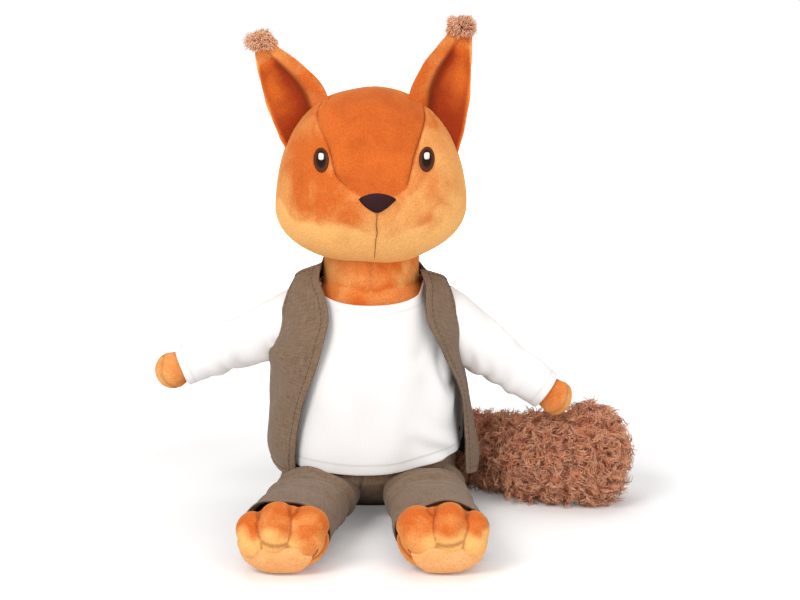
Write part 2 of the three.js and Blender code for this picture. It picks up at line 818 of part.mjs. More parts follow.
const headGroup = addJointGroup(neckGroup, neckPivot, nodPivot);
addPiece(headGroup, "head", headSkin, plush);
addPiece(headGroup, "head_filling", headFilling, stuffing);

const eyeTop = seamGap + embroideryThickness;
for (const [name, side] of [["right", -1], ["left", 1]]) {
  const x = eyeOffset + (side * eyeSpacing) / 2;
  const eyeOutline = ovalOutline(x, eyeHeight, eyeWidth, eyeTall);
  const glintOutline = ovalOutline(x, eyeHeight + glintRise, glintWidth, glintTall);
  addPiece(headGroup, `${name}_eye`, facePatch(eyeOutline, seamGap, eyeTop), brownThread);
  const glint = facePatch(glintOutline, eyeTop + seamGap, eyeTop + seamGap + glintThickness);
  addPiece(headGroup, `${name}_eye_glint`, glint, whiteThread);
}

const noseOutline = new THREE.Shape();
const noseBottom = noseHeight - noseTall / 2;
const noseCorner = noseHeight + noseCornerRise;
const noseLeft = noseOffset + noseWidth / 2;
const noseRight = noseOffset - noseWidth / 2;
noseOutline.moveTo(noseRight, noseCorner);
noseOutline.quadraticCurveTo(noseOffset - noseWidth / 3, noseBottom, noseOffset, noseBottom);
noseOutline.quadraticCurveTo(noseOffset + noseWidth / 3, noseBottom, noseLeft, noseCorner);
noseOutline.quadraticCurveTo(noseOffset, noseHeight + noseArchRise, noseRight, noseCorner);
addPiece(headGroup, "nose", facePatch(noseOutline, seamGap, seamGap + noseThickness), darkThread);

for (const [name, ear] of [["right", rightEar], ["left", leftEar]]) {
  const headAround = headForm(seamGap, bodySides, bodyRows);
  const headSweep = swept(headAround, ear.base, ear.hinge, -earFlexAngle, earFlexAngle, earSweepSteps);
  const earSolid = earForm(ear, 0).subtract(headSweep);
  const tuftCentre = ear.base.clone().addScaledVector(ear.along, ear.length + tuftRise);
  const tuft = ellipsoid(tuftHalfWidth, tuftHalfDepth, tuftHalfTall, tuftCentre, limbCoreSides, tuftRows);
  const earGroup = addJointGroup(headGroup, nodPivot, ear.base);
  addPiece(earGroup, `${name}_ear`, earSolid, plush);
  addPiece(earGroup, `${name}_ear_tuft`, tuft.subtract(earForm(ear, seamGap)), tuftFur);
}

for (const [name, arm] of [["right", rightArm], ["left", leftArm]]) {
  const stretch = limbStretch(arm, armRootCut, farAway);
  const skin = limbSkinForm(arm, 0).subtract(limbCore(arm, -plushThickness)).intersect(stretch);
  const filling = limbCore(arm, -plushThickness - seamGap).intersect(stretch);
  const sleeve = limbSkinForm(arm, sleeveOuter)
    .subtract(limbSkinForm(arm, sleeveInner))
    .intersect(limbStretch(arm, sleeveStart, sleeveReach));
  const group = addJointGroup(doll, floorOrigin, arm.pivot);
  addPiece(group, `${name}_arm`, skin, plush);
  addPiece(group, `${name}_arm_filling`, filling, stuffing);
  addPiece(group, `${name}_sleeve`, sleeve, jersey);
}

for (const [name, leg] of [["right", rightLeg], ["left", leftLeg]]) {
  const stretch = limbStretch(leg, legRootCut, farAway);
  const shell = legForm(leg, 0, limbSides, limbRows, limbCapRows)
    .subtract(legForm(leg, -plushThickness, limbCoreSides, limbCoreRows, limbCoreCapRows))
    .intersect(stretch)
    .subtract(spaceBelow(0));
  const solePlaneY = leg.foot.y - solePanelForward;
  const soleSpace = block(
    new THREE.Vector3(-farAway, -farAway, -farAway),
    new THREE.Vector3(farAway, solePlaneY, solePanelHeight),
  );
  const sole = shell.intersect(soleSpace);
  const legSkin = shell.subtract(soleSpace.translate([0, seamGap, seamGap]));
  const filling = legForm(leg, -plushThickness - seamGap, limbCoreSides, limbCoreRows, limbCoreCapRows)
    .intersect(stretch)
    .subtract(spaceBelow(seamGap));
  const cover = limbSkinForm(leg, shortsOuter)
    .subtract(limbSkinForm(leg, shortsInner))
    .intersect(limbStretch(leg, shortsLegStart, shortsLegReach));
  const group = addJointGroup(doll, floorOrigin, leg.pivot);
  addPiece(group, `${name}_leg`, legSkin, plush);
  addPiece(group, `${name}_sole`, sole, palePlush);
  addPiece(group, `${name}_leg_filling`, filling, stuffing);
  addPiece(group, `shorts_${name}_leg`, cover.subtract(spaceBelow(0)), twill);
}

const tailStretch = limbStretch(tail, tailRootCut, farAway);
const tailGroup = addJointGroup(doll, floorOrigin, tail.pivot);
const tailSkin = limbForm(tail, 0, limbSides, tailRows, limbCapRows)
  .subtract(limbForm(tail, -plushThickness, limbCoreSides, tailRows, limbCoreCapRows))
  .intersect(tailStretch)
  .subtract(spaceBelow(0));
const tailFilling = limbForm(tail, -plushThickness - seamGap, limbCoreSides, tailRows, limbCoreCapRows)
  .intersect(tailStretch)
  .subtract(spaceBelow(seamGap));
addPiece(tailGroup, "tail", tailSkin, curlyFur);
addPiece(tailGroup, "tail_filling", tailFilling, stuffing);

export default doll;
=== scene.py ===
"""A seated plush squirrel in a shirt, an open vest and shorts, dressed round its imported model.

Every length is in metres, in the row frame: +Z up, the doll looks along -Y, its own right side is -X.
"""

import logging
import math
from dataclasses import dataclass, field
from enum import Enum

import bpy
import numpy as np
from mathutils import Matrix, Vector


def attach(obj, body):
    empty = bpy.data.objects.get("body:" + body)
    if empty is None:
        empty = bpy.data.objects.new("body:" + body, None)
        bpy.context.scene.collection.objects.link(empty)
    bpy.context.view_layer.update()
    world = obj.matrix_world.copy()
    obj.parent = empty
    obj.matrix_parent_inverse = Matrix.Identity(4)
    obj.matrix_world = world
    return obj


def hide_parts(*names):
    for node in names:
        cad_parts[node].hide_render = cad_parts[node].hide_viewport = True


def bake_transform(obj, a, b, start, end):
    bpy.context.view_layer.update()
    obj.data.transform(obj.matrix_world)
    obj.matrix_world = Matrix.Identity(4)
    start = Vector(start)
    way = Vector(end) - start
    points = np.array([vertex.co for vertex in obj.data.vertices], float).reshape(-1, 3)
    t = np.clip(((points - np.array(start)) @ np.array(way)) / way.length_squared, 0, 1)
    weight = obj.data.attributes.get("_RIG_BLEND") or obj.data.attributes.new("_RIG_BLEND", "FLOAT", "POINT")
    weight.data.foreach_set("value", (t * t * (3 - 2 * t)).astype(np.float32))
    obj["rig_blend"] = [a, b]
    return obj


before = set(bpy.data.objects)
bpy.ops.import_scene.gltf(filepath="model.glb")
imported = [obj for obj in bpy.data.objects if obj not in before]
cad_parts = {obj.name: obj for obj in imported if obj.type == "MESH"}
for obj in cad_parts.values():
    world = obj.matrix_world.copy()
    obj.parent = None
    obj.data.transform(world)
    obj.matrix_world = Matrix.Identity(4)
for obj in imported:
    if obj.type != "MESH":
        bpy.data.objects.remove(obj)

Array = np.ndarray
Piece = bpy.types.Object
Material = bpy.types.Material
Tree = bpy.types.NodeTree
Socket = bpy.types.NodeSocket

log = logging.getLogger("squirrel")
MM = 0.001
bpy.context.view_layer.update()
# Blender's wave texture repeats over this length at a scale of 1.
WAVE_LENGTH = 0.31416


# Sides and sizes


class Side(Enum):
    """The doll's own sides, as signs of X."""

    RIGHT = -1
    LEFT = 1

    @property
    def label(self) -> str:
        """Gives the side's name as pieces and nodes have it."""
        return self.name.lower()

    @property
    def mirror(self) -> Array:
        """Gives the factors that put a place of the left side on this side."""
        return np.array([self.value, 1.0, 1.0])


def in_mm(*rows: tuple | float) -> Array:
    """Makes a dataclass field of rows of millimetres, held in metres."""
    return field(default_factory=lambda: np.array(rows, float) * MM)


# Surfaces


def unit(vectors: Array) -> Array:
    """Scales vectors to a length of one."""
    return vectors / np.maximum(np.linalg.norm(vectors, axis=-1, keepdims=True), 1e-12)


def signed_power(values: Array, power: float) -> Array:
    """Raises magnitudes to a power and keeps the signs."""
    return np.sign(values) * np.abs(values) ** power


def smooth_step(values: Array, low: float, high: float) -> Array:
    """Rises smoothly from 0 at low to 1 at high."""
    share = np.clip((values - low) / (high - low), 0, 1)
    return share * share * (3 - 2 * share)


def spline(points: Array, shares: Array) -> Array:
    """Follows a centripetal Catmull-Rom curve through points.

    Args:
        points: Points to pass, one a row.
        shares: Places on the curve, 0 at the first point and 1 at the last, even in points.

    Returns:
        One point for each share.
    """
    points = np.asarray(points, float)
    ends = np.vstack([2 * points[0] - points[1], points, 2 * points[-1] - points[-2]])
    place = np.clip(np.asarray(shares, float) * (len(points) - 1), 0, len(points) - 1 - 1e-9)
    first = place.astype(int)
    along = (place - first)[..., None]
    before, start, end, after = (ends[first + offset] for offset in range(4))
    gaps = [np.maximum(np.linalg.norm(b - a, axis=-1, keepdims=True), 1e-9) ** 0.5
            for a, b in ((before, start), (start, end), (end, after))]
    leave = (start - before) / gaps[0] - (end - before) / (gaps[0] + gaps[1]) + (end - start) / gaps[1]
    arrive = (end - start) / gaps[1] - (after - start) / (gaps[1] + gaps[2]) + (after - end) / gaps[2]
    leave, arrive = leave * gaps[1], arrive * gaps[1]
    square = 3 * (end - start) - 2 * leave - arrive
    cube = 2 * (start - end) + leave + arrive
    return start + along * (leave + along * (square + along * cube))


def lumps(points: Array, size: float, seed: int) -> Array:
    """Gives a smooth uneven field: a sum of nine seeded sine waves in space.

    Args:
        points: Places along the last axis.
        size: Length of a typical wave.
        seed: Seed of the waves.

    Returns:
        Numbers round 0, mostly from -1 to 1.
    """
    rng = np.random.default_rng(seed)
    directions = unit(rng.normal(size=(9, 3))) * rng.uniform(0.7, 1.5, (9, 1)) * 2 * math.pi / size
    return np.sin(points @ directions.T + rng.uniform(0, 2 * math.pi, 9)).sum(-1) / 3


def bell(away: Array, wide: float) -> Array:
    """Gives a bell curve: 1 where away is 0, and 0.37 where away is wide."""
    return np.exp(-(away / wide) ** 2)


def read_table(places: Array, pairs: tuple) -> Array:
    """Reads a table, with straight lines between its entries."""
    known, values = zip(*pairs)
    return np.interp(places, known, values)


@dataclass(frozen=True)
class Uneven:
    """Soft unevenness of a stuffed or draped surface."""

    size: float
    depth: float
    seed: int

    def at(self, points: Array) -> Array:
        """Gives the unevenness at places."""
        return lumps(points, self.size, self.seed) * self.depth


def near_line(points: Array, line: Array) -> Array:
    """Measures how far points are from a polyline.

    Args:
        points: Places, one a row.
        line: The polyline's corners, one a row.

    Returns:
        One distance for each point.
    """
    nearest = np.full(len(points), np.inf)
    for start, end in zip(line[:-1], line[1:]):
        run = end - start
        share = np.clip((points - start) @ run / max(run @ run, 1e-12), 0, 1)
        nearest = np.minimum(nearest, np.linalg.norm(points - start - share[:, None] * run, axis=1))
    return nearest


def grid_normals(grid: Array, wrap: bool) -> Array:
    """Finds the normals of a surface grid by the cross product of its row and column steps.

    Args:
        grid: Points, rows by columns by 3.
        wrap: Whether the columns close into a ring.

    Returns:
        Unit normals of the same shape.
    """
    if wrap:
        across = np.roll(grid, -1, axis=1) - np.roll(grid, 1, axis=1)
    else:
        across = np.gradient(grid, axis=1)
    return unit(np.cross(across, np.gradient(grid, axis=0)))


def length_map(grid: Array, wrap: bool) -> Array:
    """Measures a surface grid along its rows and columns, for cloth patterns at real size.

    Args:
        grid: Points, rows by columns by 3.
        wrap: Whether the columns close into a ring, which adds a last column.

    Returns:
        Lengths in metres, rows by columns (one more when wrapped) by 2.
    """
    full = np.concatenate([grid, grid[:, :1]], axis=1) if wrap else grid
    across = np.linalg.norm(np.diff(full, axis=1), axis=2)
    across = np.concatenate([np.zeros((len(full), 1)), np.cumsum(across, axis=1)], axis=1)
    across -= across[:, -1:] / 2
    up = np.linalg.norm(np.diff(full, axis=0), axis=2).mean(axis=1)
    up = np.concatenate([[0.0], np.cumsum(up)])[:, None] * np.ones((1, full.shape[1]))
    return np.stack([across, up], axis=-1)


def add_mesh(
    name: str,
    vertices: Array,
    faces: list,
    lookup: Array | None = None,
    lengths: Array | None = None,
    marks: dict | None = None,
) -> Piece:
    """Makes an object of a closed mesh, with its faces turned outwards.

    Args:
        name: The object's name.
        vertices: Points, one a row.
        faces: Arrays of faces with the same number of corners each, in table places.
        lookup: The vertex of each table place, or None where they are the same.
        lengths: The pattern place of each table place, or None for no UV map.
        marks: Numbers for each vertex by attribute name.

    Returns:
        The new object, at the origin.
    """
    lookup = np.arange(len(vertices)) if lookup is None else lookup
    volume = 0.0
    for group in faces:
        corners = vertices[lookup[group]]
        for last in range(2, group.shape[1]):
            crossed = np.cross(corners[:, last - 1], corners[:, last])
            volume += np.einsum("ij,ij->i", corners[:, 0], crossed).sum()
    if volume < 0:
        faces = [group[:, ::-1] for group in faces]
    places = np.concatenate([group.ravel() for group in faces])
    counts = np.concatenate([np.full(len(group), group.shape[1]) for group in faces])
    mesh = bpy.data.meshes.new(name)
    mesh.vertices.add(len(vertices))
    mesh.vertices.foreach_set("co", np.ascontiguousarray(vertices, np.float32).ravel())
    mesh.loops.add(len(places))
    mesh.loops.foreach_set("vertex_index", lookup[places].astype(np.int32))
    mesh.polygons.add(len(counts))
    mesh.polygons.foreach_set("loop_start", np.concatenate([[0], np.cumsum(counts)[:-1]]).astype(np.int32))
    mesh.polygons.foreach_set("use_smooth", np.ones(len(counts), bool))
    mesh.update(calc_edges=True)
    if lengths is not None:
        layer = mesh.uv_layers.new(name="pattern")
        layer.data.foreach_set("uv", lengths.reshape(-1, 2)[places].astype(np.float32).ravel())
    for mark, values in (marks or {}).items():
        attribute = mesh.attributes.new(mark, "FLOAT", "POINT")
        attribute.data.foreach_set("value", np.ascontiguousarray(values, np.float32).ravel())
    mesh.validate()
    made = bpy.data.objects.new(name, mesh)
    bpy.context.scene.collection.objects.link(made)
    return made


def grid_faces(rows: int, columns: int, start: int = 0) -> Array:
    """Lists the quads of a table of places.

    Args:
        rows: Rows of the table.
        columns: Columns of the table.
        start: The table's first place.

    Returns:
        Quads, one a row.
    """
    place = start + np.arange(rows * columns).reshape(rows, columns)
    corners = [place[:-1, :-1], place[:-1, 1:], place[1:, 1:], place[1:, :-1]]
    return np.stack([corner.ravel() for corner in corners], axis=1)


def skin(name: str, rings: Array, marks: dict | None = None) -> Piece:
    """Makes a closed form of rings, with a pole in the middle of the first and the last one.

    Args:
        name: The object's name.
        rings: Points, rings by sides by 3.
        marks: Numbers for each ring point by attribute name.

    Returns:
        The new object.
    """
    rows, sides = rings.shape[:2]
    vertices = np.vstack([rings.reshape(-1, 3), rings[0].mean(axis=0), rings[-1].mean(axis=0)])
    table = np.arange(rows * sides).reshape(rows, sides)
    lookup = np.concatenate([table, table[:, :1]], axis=1).ravel()
    lookup = np.concatenate([lookup, [rows * sides, rows * sides + 1]])
    lengths = length_map(rings, True).reshape(-1, 2)
    lengths = np.vstack([lengths, lengths[:sides].mean(axis=0), lengths[-sides:].mean(axis=0)])
    start = np.arange(sides)
    end = start + (rows - 1) * (sides + 1)
    poles = rows * (sides + 1)
    first = np.stack([np.full(sides, poles), start + 1, start], axis=1)
    last = np.stack([np.full(sides, poles + 1), end, end + 1], axis=1)
    full = {mark: np.concatenate([values.ravel(), [values[0].mean(), values[-1].mean()]])
            for mark, values in (marks or {}).items()}
    return add_mesh(name, vertices, [grid_faces(rows, sides + 1), first, last], lookup, lengths, full)


def cloth(
    name: str,
    middle: Array,
    thickness: float,
    wrap: bool,
    marks: dict | None = None,
) -> Piece:
    """Makes a closed sheet of even thickness round a surface grid, with rounded rims.

    Each rim goes on for half the thickness beyond the grid, and thins there as a half circle does.

    Args:
        name: The object's name.
        middle: The sheet's middle surface, rows by columns by 3.
        thickness: The sheet's thickness.
        wrap: Whether the columns close into a ring.
        marks: Numbers for each grid point by attribute name.

    Returns:
        The new object.
    """
    # Two steps round each rim's half circle, from the sheet's face to near its edge.
    turn = np.radians([40.0, 75.0])
    full = np.ones(middle.shape[:2])
    values = {mark: np.asarray(given, float) for mark, given in (marks or {}).items()}
    for axis in (0,) if wrap else (0, 1):
        before = unit(middle.take([0], axis) - middle.take([1], axis))
        after = unit(middle.take([-1], axis) - middle.take([-2], axis))
        reach = thickness / 2 * np.sin(turn)
        thin = np.cos(turn)
        shape = [1, 1, 1]
        shape[axis] = 2
        steps = reach.reshape(shape)
        low = np.flip(middle.take([0], axis) + before * steps, axis)
        high = middle.take([-1], axis) + after * steps
        middle = np.concatenate([low, middle, high], axis)
        low_thin = np.flip(full.take([0], axis) * thin.reshape(shape[:2]), axis)
        high_thin = full.take([-1], axis) * thin.reshape(shape[:2])
        full = np.concatenate([low_thin, full, high_thin], axis)
        values = {mark: np.concatenate([given.take([0, 0], axis), given, given.take([-1, -1], axis)], axis)
                  for mark, given in values.items()}
    rows, columns = middle.shape[:2]
    offset = grid_normals(middle, wrap) * (full * thickness / 2)[..., None]
    vertices = np.concatenate([(middle + offset).reshape(-1, 3), (middle - offset).reshape(-1, 3)])
    table = np.arange(rows * columns).reshape(rows, columns)
    if wrap:
        table = np.concatenate([table, table[:, :1]], axis=1)
    wide = table.shape[1]
    lookup = np.concatenate([table.ravel(), table.ravel() + rows * columns])
    lengths = np.tile(length_map(middle, wrap).reshape(-1, 2), (2, 1))
    faces = [grid_faces(rows, wide), grid_faces(rows, wide, rows * wide)[:, ::-1]]
    place = np.arange(rows * wide).reshape(rows, wide)
    rims = [(place[0], False), (place[-1], True)]
    if not wrap:
        rims += [(place[:, 0], True), (place[:, -1], False)]
    for rim, flip in rims:
        strip = np.stack([rim[:-1], rim[:-1] + rows * wide, rim[1:] + rows * wide, rim[1:]], axis=1)
        faces.append(strip[:, ::-1] if flip else strip)
    both = {mark: np.concatenate([given.ravel(), given.ravel()]) for mark, given in values.items()}
    # The face towards the middle is marked, and the canvas paints shade on it.
    normals = offset.reshape(-1, 3)
    from_axis = middle.reshape(-1, 3) - middle.mean(axis=(0, 1)) * [0, 0, 1]
    outside = 1.0 if (normals * from_axis).sum() > 0 else 0.0
    both["inner_shade"] = np.repeat([1 - outside, outside], rows * columns)
    return add_mesh(name, vertices, faces, lookup, lengths, both)


def strands(
    name: str,
    lines: Array,
    radii: Array,
    sides: int,
    marks: dict | None = None,
) -> Piece:
    """Makes many thin closed tubes at once, pointed at their far end.

    Args:
        name: The object's name.
        lines: Middle lines, strands by points by 3. The last point is the tip.
        radii: Radii, strands by points; the tip's isn't used.
        sides: Sides of a tube.
        marks: Numbers, strands by points, by attribute name.

    Returns:
        The new object.
    """
    count, points = lines.shape[:2]
    along = unit(np.gradient(lines, axis=1))
    # A steep strand, whose slope past 0.8 is too near to Z, takes its sides from X.
    guide = np.where(np.abs(along[..., 2:]) < 0.8, np.array([0.0, 0.0, 1.0]), np.array([1.0, 0.0, 0.0]))
    side = unit(np.cross(guide, along))
    up = np.cross(along, side)
    turn = np.arange(sides) / sides * 2 * math.pi
    ring = side[:, :, None] * np.cos(turn)[:, None] + up[:, :, None] * np.sin(turn)[:, None]
    body = (lines[:, :, None] + ring * radii[:, :, None, None])[:, :-1]
    own = np.concatenate([body.reshape(count, -1, 3), lines[:, -1:]], axis=1)
    size = own.shape[1]
    base = (np.arange(count) * size)[:, None, None]
    table = np.arange((points - 1) * sides).reshape(points - 1, sides)
    closed = np.concatenate([table, table[:, :1]], axis=1)
    quads = grid_faces(points - 1, sides + 1)
    quads = closed.ravel()[quads]
    last = closed[-1]
    tips = np.stack([last[:-1], last[1:], np.full(sides, size - 1)], axis=1)
    root = table[:1, ::-1]
    faces = [(base + group).reshape(-1, group.shape[1]) for group in (quads, tips, root)]
    full = {mark: np.concatenate([np.repeat(values[:, :-1], sides, axis=1), values[:, -1:]], axis=1)
            for mark, values in (marks or {}).items()}
    return add_mesh(name, own.reshape(-1, 3), faces, marks=full)


@dataclass(frozen=True)
class Stitch:
    """A sewing thread and its stitches: length, distance from stitch to stitch, and half thickness."""

    length: float = 2.3 * MM
    pitch: float = 2.8 * MM
    radius: float = 0.17 * MM
    sides: int = 6
    # Share of the radius at six places of a stitch, which is drawn in at both ends.
    profile: tuple = (0.45, 0.9, 1.0, 1.0, 0.85, 0.0)
    sunk: float = 0.35


def stitches(name: str, path: Array, lift: Array, stitch: Stitch) -> Piece:
    """Sews a line of small thread stitches along a path.

    A stitch bows out of the cloth as the square root of half a sine wave.

    Args:
        name: The object's name.
        path: Points of the sewn line, close together.
        lift: The outward direction at each point.
        stitch: The thread and its stitches.

    Returns:
        The new object.
    """
    reach = np.concatenate([[0.0], np.cumsum(np.linalg.norm(np.diff(path, axis=0), axis=1))])
    starts = np.arange(stitch.pitch / 2, reach[-1] - stitch.length, stitch.pitch)
    shares = np.linspace(0, 1, len(stitch.profile))
    places = starts[:, None] + shares * stitch.length
    bow = np.sin(shares * math.pi) ** 0.5 * stitch.radius
    line = np.stack([np.interp(places, reach, path[:, axis]) for axis in range(3)], axis=-1)
    out = unit(np.stack([np.interp(places, reach, lift[:, axis]) for axis in range(3)], axis=-1))
    thick = np.broadcast_to(stitch.radius * np.array(stitch.profile), places.shape)
    line = line + out * (bow - stitch.radius * stitch.sunk)[..., None]
    return strands(name, line, thick, stitch.sides)


def sewn_line(name: str, ground: Piece, line: Array, radius: float) -> Piece:
    """Draws a sewing thread in along a line on a piece, so that a little over half of it stands out.

    Args:
        name: The object's name.
        ground: The piece that it lies on.
        line: Points near the piece, one a row.
        radius: Half the thread's thickness.

    Returns:
        The new object.
    """
    points, raised, sides = 90, 0.1, 6
    near = [ground.closest_point_on_mesh(tuple(point)) for point in spline(line, np.linspace(0, 1, points))]
    path = np.array([tuple(found[1]) for found in near])
    path = path + np.array([tuple(found[2]) for found in near]) * radius * raised
    thick = np.full((1, len(path)), radius)
    thick[:, -1] = 0
    return strands(name, path[None], thick, sides)


def on_grid(grid: Array, rows: Array, columns: Array) -> Array:
    """Reads a surface grid between its points.

    Args:
        grid: Values, rows by columns by anything.
        rows: Row places, fractions allowed.
        columns: Column places, fractions allowed.

    Returns:
        One value for each place.
    """
    # The last place stays a hair short of the last row and column, so that each has a next one.
    rows = np.clip(rows, 0, grid.shape[0] - 1.001)
    columns = np.clip(columns, 0, grid.shape[1] - 1.001)
    top, left = rows.astype(int), columns.astype(int)
    down, right = (rows - top)[:, None], (columns - left)[:, None]
    first = grid[top, left] * (1 - right) + grid[top, left + 1] * right
    second = grid[top + 1, left] * (1 - right) + grid[top + 1, left + 1] * right
    return first * (1 - down) + second * down


# Materials

# What a shader input takes: a number, a colour or another node's output.
Source = float | tuple | Socket


def linear(code: str) -> tuple:
    """Turns an sRGB hex code into a linear colour.

    Args:
        code: Six hex digits after a hash sign.

    Returns:
        Red, green, blue and alpha.
    """
    parts = np.array([int(code[place:place + 2], 16) / 255 for place in (1, 3, 5)])
    linear = np.where(parts <= 0.04045, parts / 12.92, ((parts + 0.055) / 1.055) ** 2.4)
    return (*linear.tolist(), 1.0)


def add_node(
    tree: Tree,
    kind: str,
    inputs: dict | None = None,
    **settings: object,
) -> bpy.types.Node:
    """Adds a shader node with its settings, values and links.

    Args:
        tree: The material's or world's node tree.
        kind: The node's type.
        inputs: Values or source sockets by input name or number.
        **settings: Properties of the node.

    Returns:
        The new node.
    """
    made = tree.nodes.new(kind)
    for name, value in settings.items():
        setattr(made, name, value)
    for name, value in (inputs or {}).items():
        if isinstance(value, Socket):
            tree.links.new(value, made.inputs[name])
        else:
            made.inputs[name].default_value = value
    return made


def new_material(name: str) -> tuple[Material, Tree]:
    """Starts a material with only its output node.

    Args:
        name: The material's name.

    Returns:
        The material and its node tree.
    """
    material = bpy.data.materials.new(name)
    material.use_nodes = True
    material.node_tree.nodes.clear()
    return material, material.node_tree


def mix_colours(
    tree: Tree,
    share: Source,
    first: Source,
    second: Source,
    blend: str = "MIX",
) -> Socket:
    """Mixes two colours."""
    inputs = {0: share, 6: first, 7: second}
    return add_node(tree, "ShaderNodeMix", inputs, data_type="RGBA", blend_type=blend).outputs[2]


def ramp(tree: Tree, value: Source, low: float, high: float) -> Socket:
    """Stretches a value so that low becomes 0 and high becomes 1."""
    inputs = {0: value, 1: low, 2: high, 3: 0.0, 4: 1.0}
    return add_node(tree, "ShaderNodeMapRange", inputs, clamp=True).outputs[0]


def attribute(tree: Tree, name: str) -> Socket:
    """Reads a mesh attribute."""
    return add_node(tree, "ShaderNodeAttribute", attribute_name=name).outputs["Fac"]


def finish_surface(tree: Tree, colour: Source, bump: Source, inputs: dict) -> None:
    """Closes a material with a Principled shader."""
    shader = add_node(tree, "ShaderNodeBsdfPrincipled", {"Base Color": colour, "Normal": bump, **inputs})
    add_node(tree, "ShaderNodeOutputMaterial", {"Surface": shader.outputs[0]})


@dataclass(frozen=True)
class Velour:
    """Polyester velour, a short brushed pile on a knitted ground.

    To the eye it is soft and matt, paler at grazing angles, with patches where the pile leans another way.
    The mark shade runs from -1, a painted shade of deep orange as on the forehead, to 1, a painted sheen of
    pale orange as on the brushed edges; both partly follow how the pile lies. The mark seam is 1 in a seam or
    a crease, which it darkens; in the creases of the toes and the ear's fold this is painted shade. The real
    pile's ends lie 0.2 mm apart, too fine to show, so the fuzz is drawn at 0.9 mm.
    """

    name: str
    base: str
    deep: str
    pale: str
    # The colour of seams and creases, and of the painted shade in the toes' creases and the ear's fold.
    crease: str = "#7C2D10"
    patch: float = 22 * MM
    fuzz: float = 0.9 * MM
    pile: float = 0.35 * MM
    # How much the patches change the shade, and the factors of the fuzz's low and high places.
    lean: float = 0.44
    low_grain: tuple = (0.84, 0.82, 0.8, 1)
    high_grain: tuple = (1.07, 1.08, 1.1, 1)

    def build(self) -> Material:
        """Makes the material.

        Returns:
            The material.
        """
        material, tree = new_material(self.name)
        place = add_node(tree, "ShaderNodeTexCoord").outputs["Object"]
        patches = add_node(tree, "ShaderNodeTexNoise", {
            "Vector": place, "Scale": 1 / self.patch, "Detail": 4.0, "Roughness": 0.55, "Distortion": 0.7})
        fuzz = add_node(tree, "ShaderNodeTexNoise", {
            "Vector": place, "Scale": 1 / self.fuzz, "Detail": 2.0, "Roughness": 0.7})
        shade = attribute(tree, "shade")
        leaning = ramp(tree, patches.outputs[0], 0.36, 0.64)
        change = add_node(tree, "ShaderNodeMath", {0: leaning, 1: self.lean, 2: -self.lean / 2},
                          operation="MULTIPLY_ADD").outputs[0]
        level = add_node(tree, "ShaderNodeMath", {0: shade, 1: change}, operation="ADD").outputs[0]
        # The shade mark mixes towards pale for painted sheen and towards deep for painted shade.
        colour = mix_colours(tree, ramp(tree, level, -0.1, 0.9), linear(self.base), linear(self.pale))
        colour = mix_colours(tree, ramp(tree, level, -0.25, -1.35), colour, linear(self.deep))
        grain = mix_colours(tree, ramp(tree, fuzz.outputs[0], 0.35, 0.65), self.low_grain, self.high_grain)
        colour = mix_colours(tree, 1.0, colour, grain, "MULTIPLY")
        # Seams darken, and creases take painted shade.
        colour = mix_colours(tree, attribute(tree, "seam"), colour, linear(self.crease))
        bump = add_node(tree, "ShaderNodeBump", {
            "Height": fuzz.outputs[0], "Strength": 0.5, "Distance": self.pile}).outputs[0]
        finish_surface(tree, colour, bump, {
            "Roughness": 0.92, "Specular IOR Level": 0.15, "Sheen Weight": 0.75, "Sheen Roughness": 0.4,
            "Sheen Tint": linear(self.pale)})
        return material


